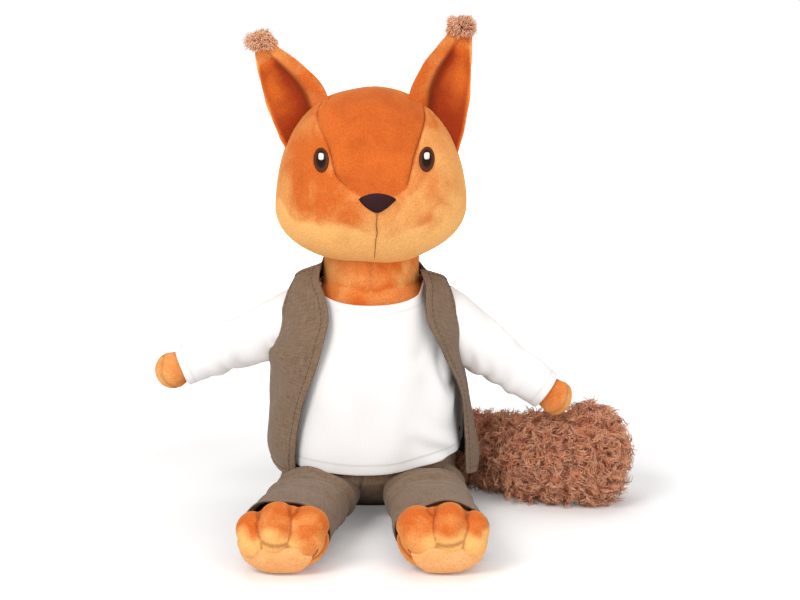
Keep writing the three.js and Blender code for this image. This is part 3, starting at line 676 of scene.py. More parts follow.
@dataclass(frozen=True)
class Woven:
    """Plain-woven cotton canvas of uneven light and dark yarns, which cross at right angles.

    To the eye it is dry and matt, speckled by thick and thin places in its yarns. Real yarns lie about
    0.4 mm apart, too fine to show, so they are drawn at 0.7 mm. A mark is 1 on its inner face, which is
    painted dark as shade.
    """

    name: str
    base: str
    light: str
    dark: str
    # The inner face's painted shade, also the colour of dark seams.
    inner_shade: str = "#43372B"
    yarn: float = 0.7 * MM
    relief: float = 0.25 * MM
    # Factors of the gaps between the yarns and of the yarns' crowns, and how much of them shows.
    gap: tuple = (0.7, 0.68, 0.65, 1)
    crown: tuple = (1.06, 1.06, 1.06, 1)
    gap_share: float = 0.6

    def build(self) -> Material:
        """Makes the material.

        Returns:
            The material.
        """
        material, tree = new_material(self.name)
        place = add_node(tree, "ShaderNodeUVMap", uv_map="pattern").outputs[0]
        inputs = {"Vector": place, "Scale": WAVE_LENGTH / self.yarn, "Distortion": 1.2, "Detail": 1.0,
                  "Detail Scale": 2.0}
        warp = add_node(tree, "ShaderNodeTexWave", inputs, bands_direction="X").outputs[1]
        weft = add_node(tree, "ShaderNodeTexWave", inputs, bands_direction="Y").outputs[1]
        heights = add_node(tree, "ShaderNodeMath", {0: warp, 1: weft}, operation="MAXIMUM").outputs[0]
        # Slubs, the thick places of a yarn, are eight times as long as they are wide.
        slubs = []
        for stretch in ((1.0, 0.12, 1.0), (0.12, 1.0, 1.0)):
            long = add_node(tree, "ShaderNodeMapping", {"Vector": place, "Scale": stretch}).outputs[0]
            slubs.append(add_node(tree, "ShaderNodeTexNoise", {
                "Vector": long, "Scale": 0.9 / self.yarn, "Detail": 2.0, "Roughness": 0.6}).outputs[0])
        yarns = add_node(tree, "ShaderNodeMath", {0: slubs[0], 1: slubs[1]}, operation="ADD").outputs[0]
        colour = mix_colours(tree, ramp(tree, yarns, 0.98, 1.3), linear(self.base), linear(self.light))
        colour = mix_colours(tree, ramp(tree, yarns, 1.0, 0.7), colour, linear(self.dark))
        gaps = mix_colours(tree, ramp(tree, heights, 0.1, 0.75), self.gap, self.crown)
        colour = mix_colours(tree, self.gap_share, colour, gaps, "MULTIPLY")
        colour = mix_colours(tree, attribute(tree, "seam"), colour, linear(self.inner_shade))
        # The inner face is painted dark as shade.
        colour = mix_colours(tree, attribute(tree, "inner_shade"), colour, linear(self.inner_shade))
        bump = add_node(tree, "ShaderNodeBump", {
            "Height": heights, "Strength": 0.6, "Distance": self.relief}).outputs[0]
        finish_surface(tree, colour, bump, {
            "Roughness": 0.9, "Specular IOR Level": 0.25, "Sheen Weight": 0.15, "Sheen Roughness": 0.5})
        return material


@dataclass(frozen=True)
class Jersey:
    """White cotton jersey, a smooth knit with a fine upright rib.

    To the eye it is soft, matt and nearly plain. Real ribs lie about 0.5 mm apart, too fine to show, so
    they are drawn at 0.8 mm.
    """

    name: str
    base: str
    shade: str
    seam: str
    rib: float = 0.8 * MM
    fuzz: float = 1.2 * MM
    relief: float = 0.15 * MM

    def build(self) -> Material:
        """Makes the material.

        Returns:
            The material.
        """
        material, tree = new_material(self.name)
        place = add_node(tree, "ShaderNodeUVMap", uv_map="pattern").outputs[0]
        ribs = add_node(tree, "ShaderNodeTexWave", {
            "Vector": place, "Scale": WAVE_LENGTH / self.rib, "Distortion": 1.5, "Detail": 2.0},
            bands_direction="X")
        fuzz = add_node(tree, "ShaderNodeTexNoise", {"Vector": place, "Scale": 1 / self.fuzz, "Detail": 3.0})
        height = add_node(tree, "ShaderNodeMath", {0: ribs.outputs[1], 1: fuzz.outputs[0]},
                          operation="ADD").outputs[0]
        colour = mix_colours(tree, ramp(tree, height, 0.2, 1.2), linear(self.shade), linear(self.base))
        colour = mix_colours(tree, attribute(tree, "seam"), colour, linear(self.seam))
        bump = add_node(tree, "ShaderNodeBump", {
            "Height": height, "Strength": 0.25, "Distance": self.relief}).outputs[0]
        finish_surface(tree, colour, bump, {
            "Roughness": 0.88, "Specular IOR Level": 0.25, "Sheen Weight": 0.2, "Sheen Roughness": 0.5})
        return material


@dataclass(frozen=True)
class Fur:
    """Crimped long-pile polyester fur: locks dark at the root and lighter at the tip.

    To the eye each hair has a soft sheen, and the locks part in light and dark. Real hairs are 0.05 mm
    thick, too fine to show, so each one that is drawn is about 0.5 mm thick and stands for a bunch.
    The mark "tone" runs from 0 at a lock's root to 1 at its tip, and "hue" differs from lock to lock.
    """

    name: str
    root: str
    body: str
    tip: str
    grain: float = 0.8 * MM
    relief: float = 0.3 * MM
    grain_share: float = 0.5
    hue_share: float = 0.45

    def build(self) -> Material:
        """Makes the material.

        Returns:
            The material.
        """
        material, tree = new_material(self.name)
        place = add_node(tree, "ShaderNodeTexCoord").outputs["Object"]
        hair = add_node(tree, "ShaderNodeTexNoise", {
            "Vector": place, "Scale": 1 / self.grain, "Detail": 3.0, "Roughness": 0.7}).outputs[0]
        tone = add_node(tree, "ShaderNodeMath", {0: hair, 1: self.grain_share, 2: attribute(tree, "tone")},
                        operation="MULTIPLY_ADD").outputs[0]
        tone = add_node(tree, "ShaderNodeMath", {0: attribute(tree, "hue"), 1: self.hue_share, 2: tone},
                        operation="MULTIPLY_ADD").outputs[0]
        colour = mix_colours(tree, ramp(tree, tone, 0.25, 0.85), linear(self.root), linear(self.body))
        colour = mix_colours(tree, ramp(tree, tone, 0.85, 1.6), colour, linear(self.tip))
        bump = add_node(tree, "ShaderNodeBump", {
            "Height": hair, "Strength": 0.5, "Distance": self.relief}).outputs[0]
        finish_surface(tree, colour, bump, {
            "Roughness": 0.7, "Specular IOR Level": 0.3, "Sheen Weight": 0.25, "Sheen Roughness": 0.4})
        return material


@dataclass(frozen=True)
class Thread:
    """Polyester embroidery thread in satin stitch, laid side by side.

    To the eye it is smooth with fine level lines and a faint gloss. The mark "inner" is 1 where the inner
    colour is sewn. Real threads lie about 0.3 mm apart, too fine to show, so they are drawn at 0.45 mm.
    """

    name: str
    base: str
    inner: str
    pitch: float = 0.45 * MM
    relief: float = 0.15 * MM
    # Factors of the lines between the threads and of the threads' crowns.
    line: tuple = (0.7, 0.7, 0.7, 1)
    crown: tuple = (1.12, 1.12, 1.12, 1)

    def build(self) -> Material:
        """Makes the material.

        Returns:
            The material.
        """
        material, tree = new_material(self.name)
        place = add_node(tree, "ShaderNodeTexCoord").outputs["Object"]
        lines = add_node(tree, "ShaderNodeTexWave", {
            "Vector": place, "Scale": WAVE_LENGTH / self.pitch, "Distortion": 0.8, "Detail": 1.0},
            bands_direction="Z")
        colour = mix_colours(tree, attribute(tree, "inner"), linear(self.base), linear(self.inner))
        grain = mix_colours(tree, lines.outputs[1], self.line, self.crown)
        colour = mix_colours(tree, 1.0, colour, grain, "MULTIPLY")
        bump = add_node(tree, "ShaderNodeBump", {
            "Height": lines.outputs[1], "Strength": 0.5, "Distance": self.relief}).outputs[0]
        finish_surface(tree, colour, bump, {"Roughness": 0.6, "Specular IOR Level": 0.15})
        return material


@dataclass
class Finishes:
    """Every finish of the doll, made once."""

    orange: Material = field(
        default_factory=Velour("orange_velour_brushed", "#D76927", "#A33A15", "#FFBE72").build)
    pale: Material = field(
        default_factory=Velour("pale_velour_brushed", "#F5A862", "#E98743", "#FCC68C").build)
    khaki: Material = field(
        default_factory=Woven("khaki_cotton_canvas", "#826953", "#8E7560", "#6F5B47").build)
    jersey: Material = field(
        default_factory=Jersey("white_cotton_jersey", "#F7F5F4", "#EFEDEB", "#D3D0CD").build)
    curls: Material = field(
        default_factory=Fur("brown_curly_fur", "#96503A", "#E0946E", "#FFCBA2").build)
    tufts: Material = field(
        default_factory=Fur("light_brown_fluffy_fur", "#B26E52", "#ECA982", "#FFD0AA").build)
    brown_thread: Material = field(
        default_factory=Thread("dark_brown_satin_stitch", "#5C301A", "#24110A").build)
    dark_thread: Material = field(
        default_factory=Thread("burgundy_satin_stitch", "#34151A", "#34151A").build)
    white_thread: Material = field(
        default_factory=Thread("white_satin_stitch", "#F8F6F2", "#F8F6F2").build)
    rust_thread: Material = field(
        default_factory=Thread("rust_sewing_thread", "#954820", "#954820").build)
    sewing_thread: Material = field(
        default_factory=Thread("khaki_sewing_thread", "#665340", "#665340").build)


def dress(made: Piece, material: Material) -> Piece:
    """Gives a piece its material, and logs its count of faces.

    Args:
        made: The piece.
        material: Its material.

    Returns:
        The same piece.
    """
    made.data.materials.clear()
    made.data.materials.append(material)
    log.info("%s: %d faces", made.name, len(made.data.polygons))
    return made


# Body forms


def ring_angles(sides: int) -> Array:
    """Gives even angles round a full turn, starting behind."""
    return np.arange(sides) / sides * 2 * math.pi + math.pi / 2


def ball(columns: int, rows: int) -> Array:
    """Gives the rings of a ball with a radius of 1, less its poles.

    Args:
        columns: Points of a ring.
        rows: Rings, with the two poles counted.

    Returns:
        Points, rings by columns by 3.
    """
    around = ring_angles(columns)
    level = np.linspace(0, math.pi, rows)[1:-1, None]
    height = -np.cos(level) * np.ones_like(around)
    return np.stack([np.sin(level) * np.cos(around), np.sin(level) * np.sin(around), height], axis=-1)


@dataclass(frozen=True)
class TorsoForm:
    """The stuffed torso's outer form, which the clothes follow: superelliptic rings on a spline of sizes.

    A section is a half width, a half depth and a height. The setback moves the low rings of the seat back.
    """

    sections: Array = in_mm(
        (24.0, 9.5, 1.2), (36.0, 18.5, 6.4), (41.0, 33.0, 22.0), (43.0, 35.0, 50.0),
        (40.0, 32.0, 82.0), (33.0, 27.0, 104.0), (23.5, 23.5, 120.0))
    setback: Array = in_mm((1.2, 12.0), (6.4, 10.0), (22.0, 0.0))
    power: float = 2.2
    samples: int = 400

    def size(self, height: Array) -> Array:
        """Gives the torso's half width and half depth at a height."""
        curve = spline(self.sections, np.linspace(0, 1, self.samples))
        return np.stack([np.interp(height, curve[:, 2], curve[:, axis]) for axis in (0, 1)], axis=-1)

    def rings(self, grow: float, bottom: Array, top: Array, rows: int, angles: Array) -> Array:
        """Lays a grid on the torso, whose ends may lie at other heights all round.

        Args:
            grow: Distance outside the torso's surface.
            bottom: Lowest height at each angle, or one for all.
            top: Highest height at each angle, or one for all.
            rows: Number of rings.
            angles: Angles round +Z from +X.

        Returns:
            Points, rows by angles by 3.
        """
        share = np.linspace(0, 1, rows)[:, None]
        height = bottom * np.ones(len(angles)) * (1 - share) + top * np.ones(len(angles)) * share
        size = self.size(height) + grow
        across = size[..., 0] * signed_power(np.cos(angles), 2 / self.power)
        depth = size[..., 1] * signed_power(np.sin(angles), 2 / self.power)
        depth = depth + np.interp(height, self.setback[:, 0], self.setback[:, 1])
        return np.stack([across, depth, height], axis=-1)


def sized_rings(start: Array, direction: Array, sizes: Array, sides: int) -> Array:
    """Lays one ring for each row of sizes along a straight limb.

    Args:
        start: The limb's joint.
        direction: The way it runs.
        sizes: Half width, half height and distance from the joint, one ring a row.
        sides: Points of a ring.

    Returns:
        Points, rings by sides by 3.
    """
    side = unit(np.cross([0.0, 0.0, 1.0], direction))
    up = np.cross(direction, side)
    turn = np.arange(sides) / sides * 2 * math.pi
    middle = start + direction * sizes[:, 2:]
    return (middle[:, None] + side * (sizes[:, :1] * np.cos(turn))[..., None]
            + up * (sizes[:, 1:2] * np.sin(turn))[..., None])


def capped(stations: Array, start_cap: float, end_cap: float, rows: int, cap_rows: int) -> Array:
    """Spreads a limb's stations on a spline and adds rounded ends, each a quarter of an ellipse.

    Args:
        stations: Half width, half height and distance, one station a row.
        start_cap: Length of the rounded start.
        end_cap: Length of the rounded end.
        rows: Rows between the ends.
        cap_rows: Rows of each end.

    Returns:
        Half widths, half heights and distances of all rows.
    """
    middle = spline(stations, np.linspace(0, 1, rows))
    # The last ring stops a little before the pole, where the skin closes.
    turn = np.linspace(0, math.pi / 2, cap_rows + 1)[1:] * 0.97
    ends = []
    for station, reach in ((stations[0], -start_cap), (stations[-1], end_cap)):
        shrink = np.cos(turn)
        sizes = (station[0] * shrink, station[1] * shrink, station[2] + reach * np.sin(turn))
        ends.append(np.stack(sizes, axis=1))
    return np.vstack([ends[0][::-1], middle, ends[1]])


# Head


@dataclass
class Head:
    """The sewn head with its embroidered face."""

    finishes: Finishes
    # The superellipsoid: the height of its widest ring, its reach each way, and its powers.
    middle: float = 159 * MM
    half_width: float = 48.3 * MM
    reach_front: float = 45 * MM
    reach_back: float = 42 * MM
    rise: float = 59 * MM
    drop: float = 30 * MM
    high_power: float = 2.05
    low_power: float = 2.1
    ring_power: float = 2.15
    # The muzzle: how far it stands out, its middle and its half width and height.
    muzzle: float = 7 * MM
    muzzle_x: float = 3 * MM
    muzzle_z: float = 166 * MM
    muzzle_wide: float = 20 * MM
    muzzle_tall: float = 15 * MM
    rows: int = 230
    sides: int = 300
    # The sewn lines: two beside the forehead's gusset, one under the nose, one over the back of the head.
    seams: list = field(default_factory=lambda: [np.array(line) * MM for line in (
        [(-22.0, -2.0, 211.5), (-25.8, -16.2, 205.4), (-20.3, -33.8, 191.7), (-16.3, -42.1, 178.6),
         (-11.5, -46.8, 174.0)],
        [(25.0, 2.0, 211.0), (26.9, -17.7, 203.6), (24.3, -29.5, 194.6), (19.9, -39.7, 180.2),
         (17.9, -43.6, 173.5)],
        [(3.6, -51.1, 161.4), (3.1, -48.9, 155.3), (3.6, -46.4, 151.0), (2.8, -43.0, 146.0),
         (2.2, -36.0, 137.7), (2.0, -32.0, 134.2)],
        [(0.0, 0.0, 218.0), (0.0, 25.0, 208.5), (0.0, 38.0, 185.0), (0.0, 42.0, 160.0), (0.0, 34.0, 140.0)],
    )])
    seam_threads: tuple = (0.13 * MM, 0.13 * MM, 0.17 * MM, 0.13 * MM)
    seam_wide: float = 0.75 * MM
    seam_deep: float = 0.9 * MM
    seam_mark: float = 0.34
    # The plush swells beside a seam, and is drawn in beside an eye.
    swell_wide: float = 6 * MM
    swell: float = 0.4 * MM
    dent_wide: float = 9 * MM
    dent: float = 1.2 * MM
    uneven: Uneven = Uneven(46 * MM, 0.5 * MM, 3)
    # The eyes: middle between them, distance apart, half width and height of eye, pupil and glint.
    eye_x: float = 2 * MM
    eye_y: float = -35 * MM
    eye_z: float = 185 * MM
    eye_spacing: float = 51.3 * MM
    eye_half: tuple = (3.9 * MM, 5.9 * MM)
    pupil_half: tuple = (2.4 * MM, 4.0 * MM)
    pupil_rise: float = 0.4 * MM
    glint_half: tuple = (1.45 * MM, 1.7 * MM)
    glint_rise: float = 1.7 * MM
    glint_power: float = 0.6
    patch_sides: int = 48
    # How far each patch stands out in its middle, and how deep its edge lies in the pile.
    eye_dome: tuple = (1.3 * MM, 0.2 * MM)
    glint_dome: tuple = (2.1 * MM, -0.2 * MM)
    nose_dome: tuple = (2.2 * MM, 0.2 * MM)
    nose_line: Array = in_mm(
        (-5.4, 167.9), (-4.2, 168.9), (0.0, 170.5), (3.6, 170.9), (7.4, 170.4), (11.6, 168.7),
        (12.8, 167.6), (11.0, 165.7), (7.8, 163.2), (3.7, 161.4), (-0.4, 163.2), (-3.6, 165.7),
        (-5.4, 167.9))
    nose_points: int = 60
    # The tables of the painted sheen and shade, in millimetres: X of the gusset's seams and the jaw's line by
    # height or by X.
    gusset_right: tuple = (
        (168, -2), (172.5, -9.9), (178.6, -16.3), (191.7, -20.3), (205.4, -25.8), (212, -22))
    gusset_left: tuple = ((168, 10), (172.1, 17.5), (180.2, 19.9), (194.6, 24.3), (203.6, 26.9), (212, 25))
    jaw_line: tuple = (
        (-46, 164), (-40, 159), (-26, 154), (-14, 156.3), (3, 150), (18, 153), (28, 159.5), (45, 168))
    # How pale the cheeks are painted, as sheen, by X.
    cheeks: tuple = ((-48, 0.6), (-42, 0.42), (-34, 0.18), (-24, 0.1), (-12, 0.16), (4, 0.18), (14, 0.16))
    # Patches of painted shade, partly where the pile lies another way: X, Z, half width, half height and
    # depth.
    spots: tuple = (
        (30, 177, 4.5, 5.5, 0.4), (-28, 163, 11, 6, 0.25), (28, 154, 7, 3.5, 0.3), (-33, 177, 12, 6.5, 0.6),
        (12, 146, 5, 4, 0.35), (40, 170, 5, 9, 0.15), (-27, 192, 10, 8, 0.42), (-30, 204, 10, 7, 0.25))

    def width_share(self, level: Array, least: float) -> Array:
        """Gives the head's width at a level as a share of its greatest, by a superellipse."""
        power = np.where(level > 0, self.high_power, self.low_power)
        return np.maximum(1 - np.abs(level) ** power, least) ** (1 / power)

    def form(self, around: Array, level: Array) -> Array:
        """Gives the head's plain surface: a superellipsoid wider than deep, with a rounded muzzle.

        Args:
            around: Angles round +Z from +X.
            level: Height as a share of the rise or the drop, from -1 to 1.

        Returns:
            Points.
        """
        share = self.width_share(level, 0)
        height = self.middle + np.where(level > 0, self.rise, self.drop) * level
        across = self.half_width * share * signed_power(np.cos(around), 2 / self.ring_power)
        sine = signed_power(np.sin(around), 2 / self.ring_power)
        depth = share * sine * np.where(sine > 0, self.reach_back, self.reach_front)
        bump = bell(across - self.muzzle_x, self.muzzle_wide) * bell(height - self.muzzle_z, self.muzzle_tall)
        depth -= np.where(sine < 0, self.muzzle * share * bump, 0)
        return np.stack([across, depth, height], axis=-1)

    def relief(self, points: Array) -> tuple[Array, Array]:
        """Gives the stuffed unevenness of the head: seams drawn in, dents beside the eyes, soft lumps.

        Args:
            points: Places on the plain surface, one a row.

        Returns:
            Outward distances, and the mark of each place's nearness to a seam.
        """
        away = np.min([near_line(points, spline(line, np.linspace(0, 1, 40))) for line in self.seams], axis=0)
        seam = bell(away, self.seam_wide)
        rise = self.uneven.at(points) - seam * self.seam_deep + bell(away, self.swell_wide) * self.swell
        for side in Side:
            eye = np.array([self.eye_middle(side), self.eye_y, self.eye_z])
            rise -= bell(np.linalg.norm(points - eye, axis=1), self.dent_wide) * self.dent
        return rise, seam

    def eye_middle(self, side: Side) -> float:
        """Gives the X of an eye's middle."""
        return self.eye_x + side.value * self.eye_spacing / 2

    def front(self, across: Array, height: Array) -> Array:
        """Puts places of the face, given from the front, on the head's surface.

        Args:
            across: X.
            height: Z.

        Returns:
            Points on the front, with the relief's depth.
        """
        level = (height - self.middle) / np.where(height > self.middle, self.rise, self.drop)
        share = self.width_share(level, 1e-6)
        cosine = np.clip(across / (self.half_width * share), -1, 1)
        around = -np.arccos(signed_power(cosine, self.ring_power / 2))
        points = self.form(around, level)
        rise, _ = self.relief(points.reshape(-1, 3))
        points[..., 1] -= rise.reshape(points.shape[:-1])
        return points

    def build(self) -> None:
        """Makes the skin and the face, and dresses them."""
        level = -np.cos(np.linspace(0, math.pi, self.rows + 2)[1:-1])[:, None] * np.ones((1, self.sides))
        around = np.ones((self.rows, 1)) * ring_angles(self.sides)
        rings = self.form(around, level)
        normals = grid_normals(rings, True)
        rise, seam = self.relief(rings.reshape(-1, 3))
        rings = rings + normals * rise.reshape(self.rows, self.sides, 1)
        # The shade mark paints sheen and shade on the skin.
        shade = self.nap(*(rings[..., axis] / MM for axis in range(3)))
        marks = {"shade": shade, "seam": seam.reshape(self.rows, self.sides) * self.seam_mark}
        head = skin("head_skin", rings, marks)
        dress(head, self.finishes.orange)
        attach(head, "head")
        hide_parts("head", "head_filling")
        for number, (line, radius) in enumerate(zip(self.seams, self.seam_threads), 1):
            thread = sewn_line(f"head_seam_{number}", head, line, radius)
            dress(thread, self.finishes.rust_thread)
            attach(thread, "head")
        for side in Side:
            self.build_eye(side)
        self.build_nose()

    def nap(self, across: Array, depth: Array, height: Array) -> Array:
        """Marks painted shade and sheen, partly where the brushed pile lies: deep on the forehead, pale on
        the cheeks, the jaw and the sides.

        Every length here is in millimetres, and every edge wavers as hand-brushed pile does.

        Args:
            across: X.
            depth: Y.
            height: Z.

        Returns:
            The shade marks.
        """
        waver = 3.0 * lumps(np.stack([across, depth, height], axis=-1), 22, 7)
        right, left = (read_table(height, line) for line in (self.gusset_right, self.gusset_left))
        # The forehead's gusset is painted deep orange between its seams as shade, partly from its pile, and a
        # little lighter level with the eyes.
        forehead = smooth_step(across - right, -1.0, 1.0) * smooth_step(left - across, -1.0, 1.0)
        forehead = forehead * smooth_step(height, 166, 172) * smooth_step(-depth, -6, 8)
        band = bell(height + 0.5 * waver - 186, 6) * 0.3
        # Painted sheen pales the cheeks towards the sides, the left one most of all, and pales the jaw below
        # its line.
        temple = smooth_step(height, 190, 204) * smooth_step(-across, 16, 28) * 0.12
        cheeks = read_table(across + waver, self.cheeks) + temple
        left_light = smooth_step(across - left + waver, 0, 7) * (0.5 + 0.4 * smooth_step(across, 33, 45))
        jaw = smooth_step(read_table(across, self.jaw_line) - height + 0.8 * waver, -2.5, 3.5) * 0.95
        light = np.maximum(np.maximum(cheeks, left_light), jaw) * (1 - forehead)
        # Painted shade darkens the patches, and painted sheen pales the chin.
        dark = sum(bell(across - x, wide) * bell(height + 0.6 * waver - z, tall) * amount
                   for x, z, wide, tall, amount in self.spots) * smooth_step(-depth, 0, 14) * (1 - forehead)
        chin = bell(across - 4, 9) * bell(height - 151, 10) * 0.5 * smooth_step(-depth, 20, 30)
        shade = light + chin - dark - forehead * (0.5 - band)
        # The back of the head, which the photograph doesn't show, has a weaker pattern.
        return shade * (0.4 + 0.6 * smooth_step(-depth, -10, 5))

    def patch(self, name: str, outline: Array, dome: tuple, pupil_x: float | None = None) -> Piece:
        """Makes an embroidered patch that lies on the face, domed as a sixth-power curve.

        Args:
            name: The object's name.
            outline: X and Z of its edge, one point a row, anticlockwise from the front.
            dome: How far its middle stands out, and how far its edge is sunk in the pile.
            pupil_x: The X that a pupil's inner colour lies round, or None.

        Returns:
            The patch.
        """
        height, sunk = dome
        forward = np.array([0.0, 1.0, 0.0])
        middle = outline.mean(axis=0)
        # Rings from the middle to the edge, closer together where the dome turns down.
        share = np.array([0.04, 0.25, 0.5, 0.7, 0.85, 0.95, 1.0])[:, None, None]
        flat = middle + (outline - middle) * share
        place = self.front(flat[..., 0], flat[..., 1])
        out = height * (1 - share[..., 0] ** 6) ** 0.5 - sunk
        top = place - forward * out[..., None]
        under = place[::-1] + forward * (sunk + 0.4 * MM)
        rings = np.concatenate([top, under])
        mark = np.zeros(rings.shape[:2])
        if pupil_x is not None:
            mark = self.pupil(rings[..., 0] - pupil_x, rings[..., 2] - self.eye_z - self.pupil_rise)
        return skin(name, rings, {"inner": mark})

    def pupil(self, across: Array, up: Array) -> Array:
        """Marks the darker middle of an eye, an ellipse with a soft edge."""
        reach = (across / self.pupil_half[0]) ** 2 + (up / self.pupil_half[1]) ** 2
        return smooth_step(1.2 - reach, 0, 0.35)

    def build_eye(self, side: Side) -> None:
        """Makes an embroidered eye, an oval, and its white glint, a rounded square.

        Args:
            side: The eye's side.
        """
        turn = np.arange(self.patch_sides) / self.patch_sides * 2 * math.pi
        x = self.eye_middle(side)
        middle = np.array([x, self.eye_z])
        around = np.stack([np.cos(turn), np.sin(turn)], axis=1)
        oval = middle + around * self.eye_half
        eye = self.patch(f"{side.label}_eye_stitch", oval, self.eye_dome, x)
        dress(eye, self.finishes.brown_thread)
        square = middle + signed_power(around, self.glint_power) * self.glint_half
        square[:, 1] += self.glint_rise
        glint = self.patch(f"{side.label}_glint_stitch", square, self.glint_dome)
        dress(glint, self.finishes.white_thread)
        for piece, node in ((eye, f"{side.label}_eye"), (glint, f"{side.label}_eye_glint")):
            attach(piece, "head")
            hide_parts(node)

    def build_nose(self) -> None:
        """Makes the embroidered nose, an arched triangle."""
        outline = spline(self.nose_line, np.linspace(0, 1, self.nose_points + 1))[:-1]
        nose = self.patch("nose_stitch", outline[::-1], self.nose_dome)
        dress(nose, self.finishes.dark_thread)
        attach(nose, "head")
        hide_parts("nose")


@dataclass
class Ear:
    """One cupped ear with its inner edge folded forward, and the fluffy tuft on its tip."""

    side: Side
    lean: float
    length: float
    finishes: Finishes
    root: Array = in_mm(32.0, -2.0, 200.0)
    rows: int = 80
    sides: int = 128
    # The root is let into the head. Half widths: at the tip, added at the root, and added by the belly.
    sunk: float = 13 * MM
    tip_half: float = 5.7 * MM
    root_half: float = 9.6 * MM
    belly: float = 2.5
    belly_lean: float = 1.2
    cup: float = 8.5 * MM
    thickness: float = 2.8 * MM
    fold_depth: float = 1.6
    fold_plump: float = 2.6
    fold_drawn: float = 0.8 * MM
    # The head's blend into the ear begins and ends at these distances along it.
    blend_start: float = -2 * MM
    blend_end: float = 12 * MM
    # The tuft: half sizes, distance beyond the ear, hairs, points of a hair, and its radii from root to tip.
    tuft_half: Array = in_mm(6.4, 4.8, 4.8)
    tuft_reach: float = 2.4 * MM
    hairs: int = 3600
    clumps: int = 26
    hair_radii: Array = in_mm(0.26, 0.28, 0.26, 0.22, 0.14, 0.0)
    hair_lengths: tuple = (3.0, 5.4)
    hair_fall: float = 0.9 * MM
    core_share: float = 0.74

    def axes(self) -> tuple[Array, Array, Array]:
        """Gives the ear's place.

        Returns:
            Its base, the way it points, and the way across it, from the inner to the outer edge.
        """
        slant = math.radians(self.lean)
        along = np.array([math.sin(slant), 0.0, math.cos(slant)]) * self.side.mirror
        outward = np.array([math.cos(slant), 0.0, -math.sin(slant)]) * self.side.mirror
        return self.root * self.side.mirror, along, outward

    def build(self) -> None:
        """Makes and dresses the ear and its tuft.

        The ear is a flat tube of rings. Its width tapers and bellies as a sine, it is cupped as a square
        curve of the place across, and its inner edge is rolled forward over the cup.
        """
        label = self.side.label
        base, along, outward = self.axes()
        reach = np.linspace(-self.sunk, self.length + 0.5 * MM, self.rows)[:, None]
        share = np.clip(reach / self.length, 0, 1)
        belly = np.sin(np.pi * np.clip(share * 1.1, 0, 1)) * MM
        half = self.tip_half + self.root_half * (1 - share) ** 0.9 + self.belly * belly
        half = half * np.sqrt(np.clip((self.length + 7 * MM - reach) / (8 * MM), 0.15, 1))
        around = np.arange(self.sides) / self.sides * 2 * math.pi
        across = signed_power(np.cos(around), 0.85)
        front = smooth_step(-np.sin(around), 0.0, 0.25)
        cup = self.cup * (1 - 0.6 * share) * (0.4 - across ** 2)
        # The fold's edge wanders across the ear: nearest to the outer edge at half height.
        fold = 0.15 - 0.75 * np.exp(-((share - 0.5) / 0.42) ** 2) * 0.35 - 0.35 * (1 - share) - 0.1 * share
        roll = smooth_step(-across, -fold - 0.12, -fold + 0.1) * front
        edge = bell(across - fold, 0.1) * front
        thick = self.thickness * (1 - 0.3 * share)
        depth = cup + thick / 2 * signed_power(np.sin(around), 0.7)
        plump = np.sqrt(np.clip(1 - ((across + 1 - (fold + 1) / 2) / (0.55 * (fold + 1) + 0.1)) ** 2, 0, 1))
        rolled = plump * np.sin(np.pi * np.clip(share * 0.85 + 0.15, 0, 1))
        depth = depth - roll * (self.fold_depth + self.fold_plump * rolled) * MM + edge * self.fold_drawn
        depth = np.where(share > 0, depth, depth * (1 + reach / (40 * MM)))
        middle = base + along * reach[..., None] - outward * self.belly_lean * belly[..., None]
        rings = middle + outward * (half * across)[..., None] + np.array([0.0, 1.0, 0.0]) * depth[..., None]
        uneven = Uneven(16 * MM, 0.3 * MM, 11 + self.side.value)
        rings = rings + grid_normals(rings, True) * uneven.at(rings)[..., None]
        # Painted shade darkens the inside, with a painted glow of light in its middle and a painted shadow by
        # the fold; the tip is paler, a painted highlight pales the outer rim, and the fold's edge takes a
        # painted shadow.
        inside = front * (1 - roll) * smooth_step(-across, -0.98, -0.84) * smooth_step(-share, -0.9, -0.72)
        glow = bell(share - 0.52, 0.22) * bell(across - 0.58, 0.32)
        shadow = bell(across - fold - 0.16, 0.16) + smooth_step(-share, -0.3, 0.0) * 0.5
        tip = 0.2 * smooth_step(share, 0.72, 0.9)
        shade = inside * (-1.15 + 1.0 * glow - 0.5 * shadow) + tip + 0.3 * smooth_step(across, 0.84, 1.0)
        crease = (edge * 0.85 + inside * shadow * 0.35) * smooth_step(-share, -0.92, -0.75)
        ear = skin(f"{label}_ear_skin", rings, {"shade": shade, "seam": crease})
        dress(ear, self.finishes.orange)
        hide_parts(f"{label}_ear")
        start, end = base + along * self.blend_start, base + along * self.blend_end
        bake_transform(ear, "head", f"{label}_ear", start=tuple(start), end=tuple(end))
        self.build_tuft(base, along)

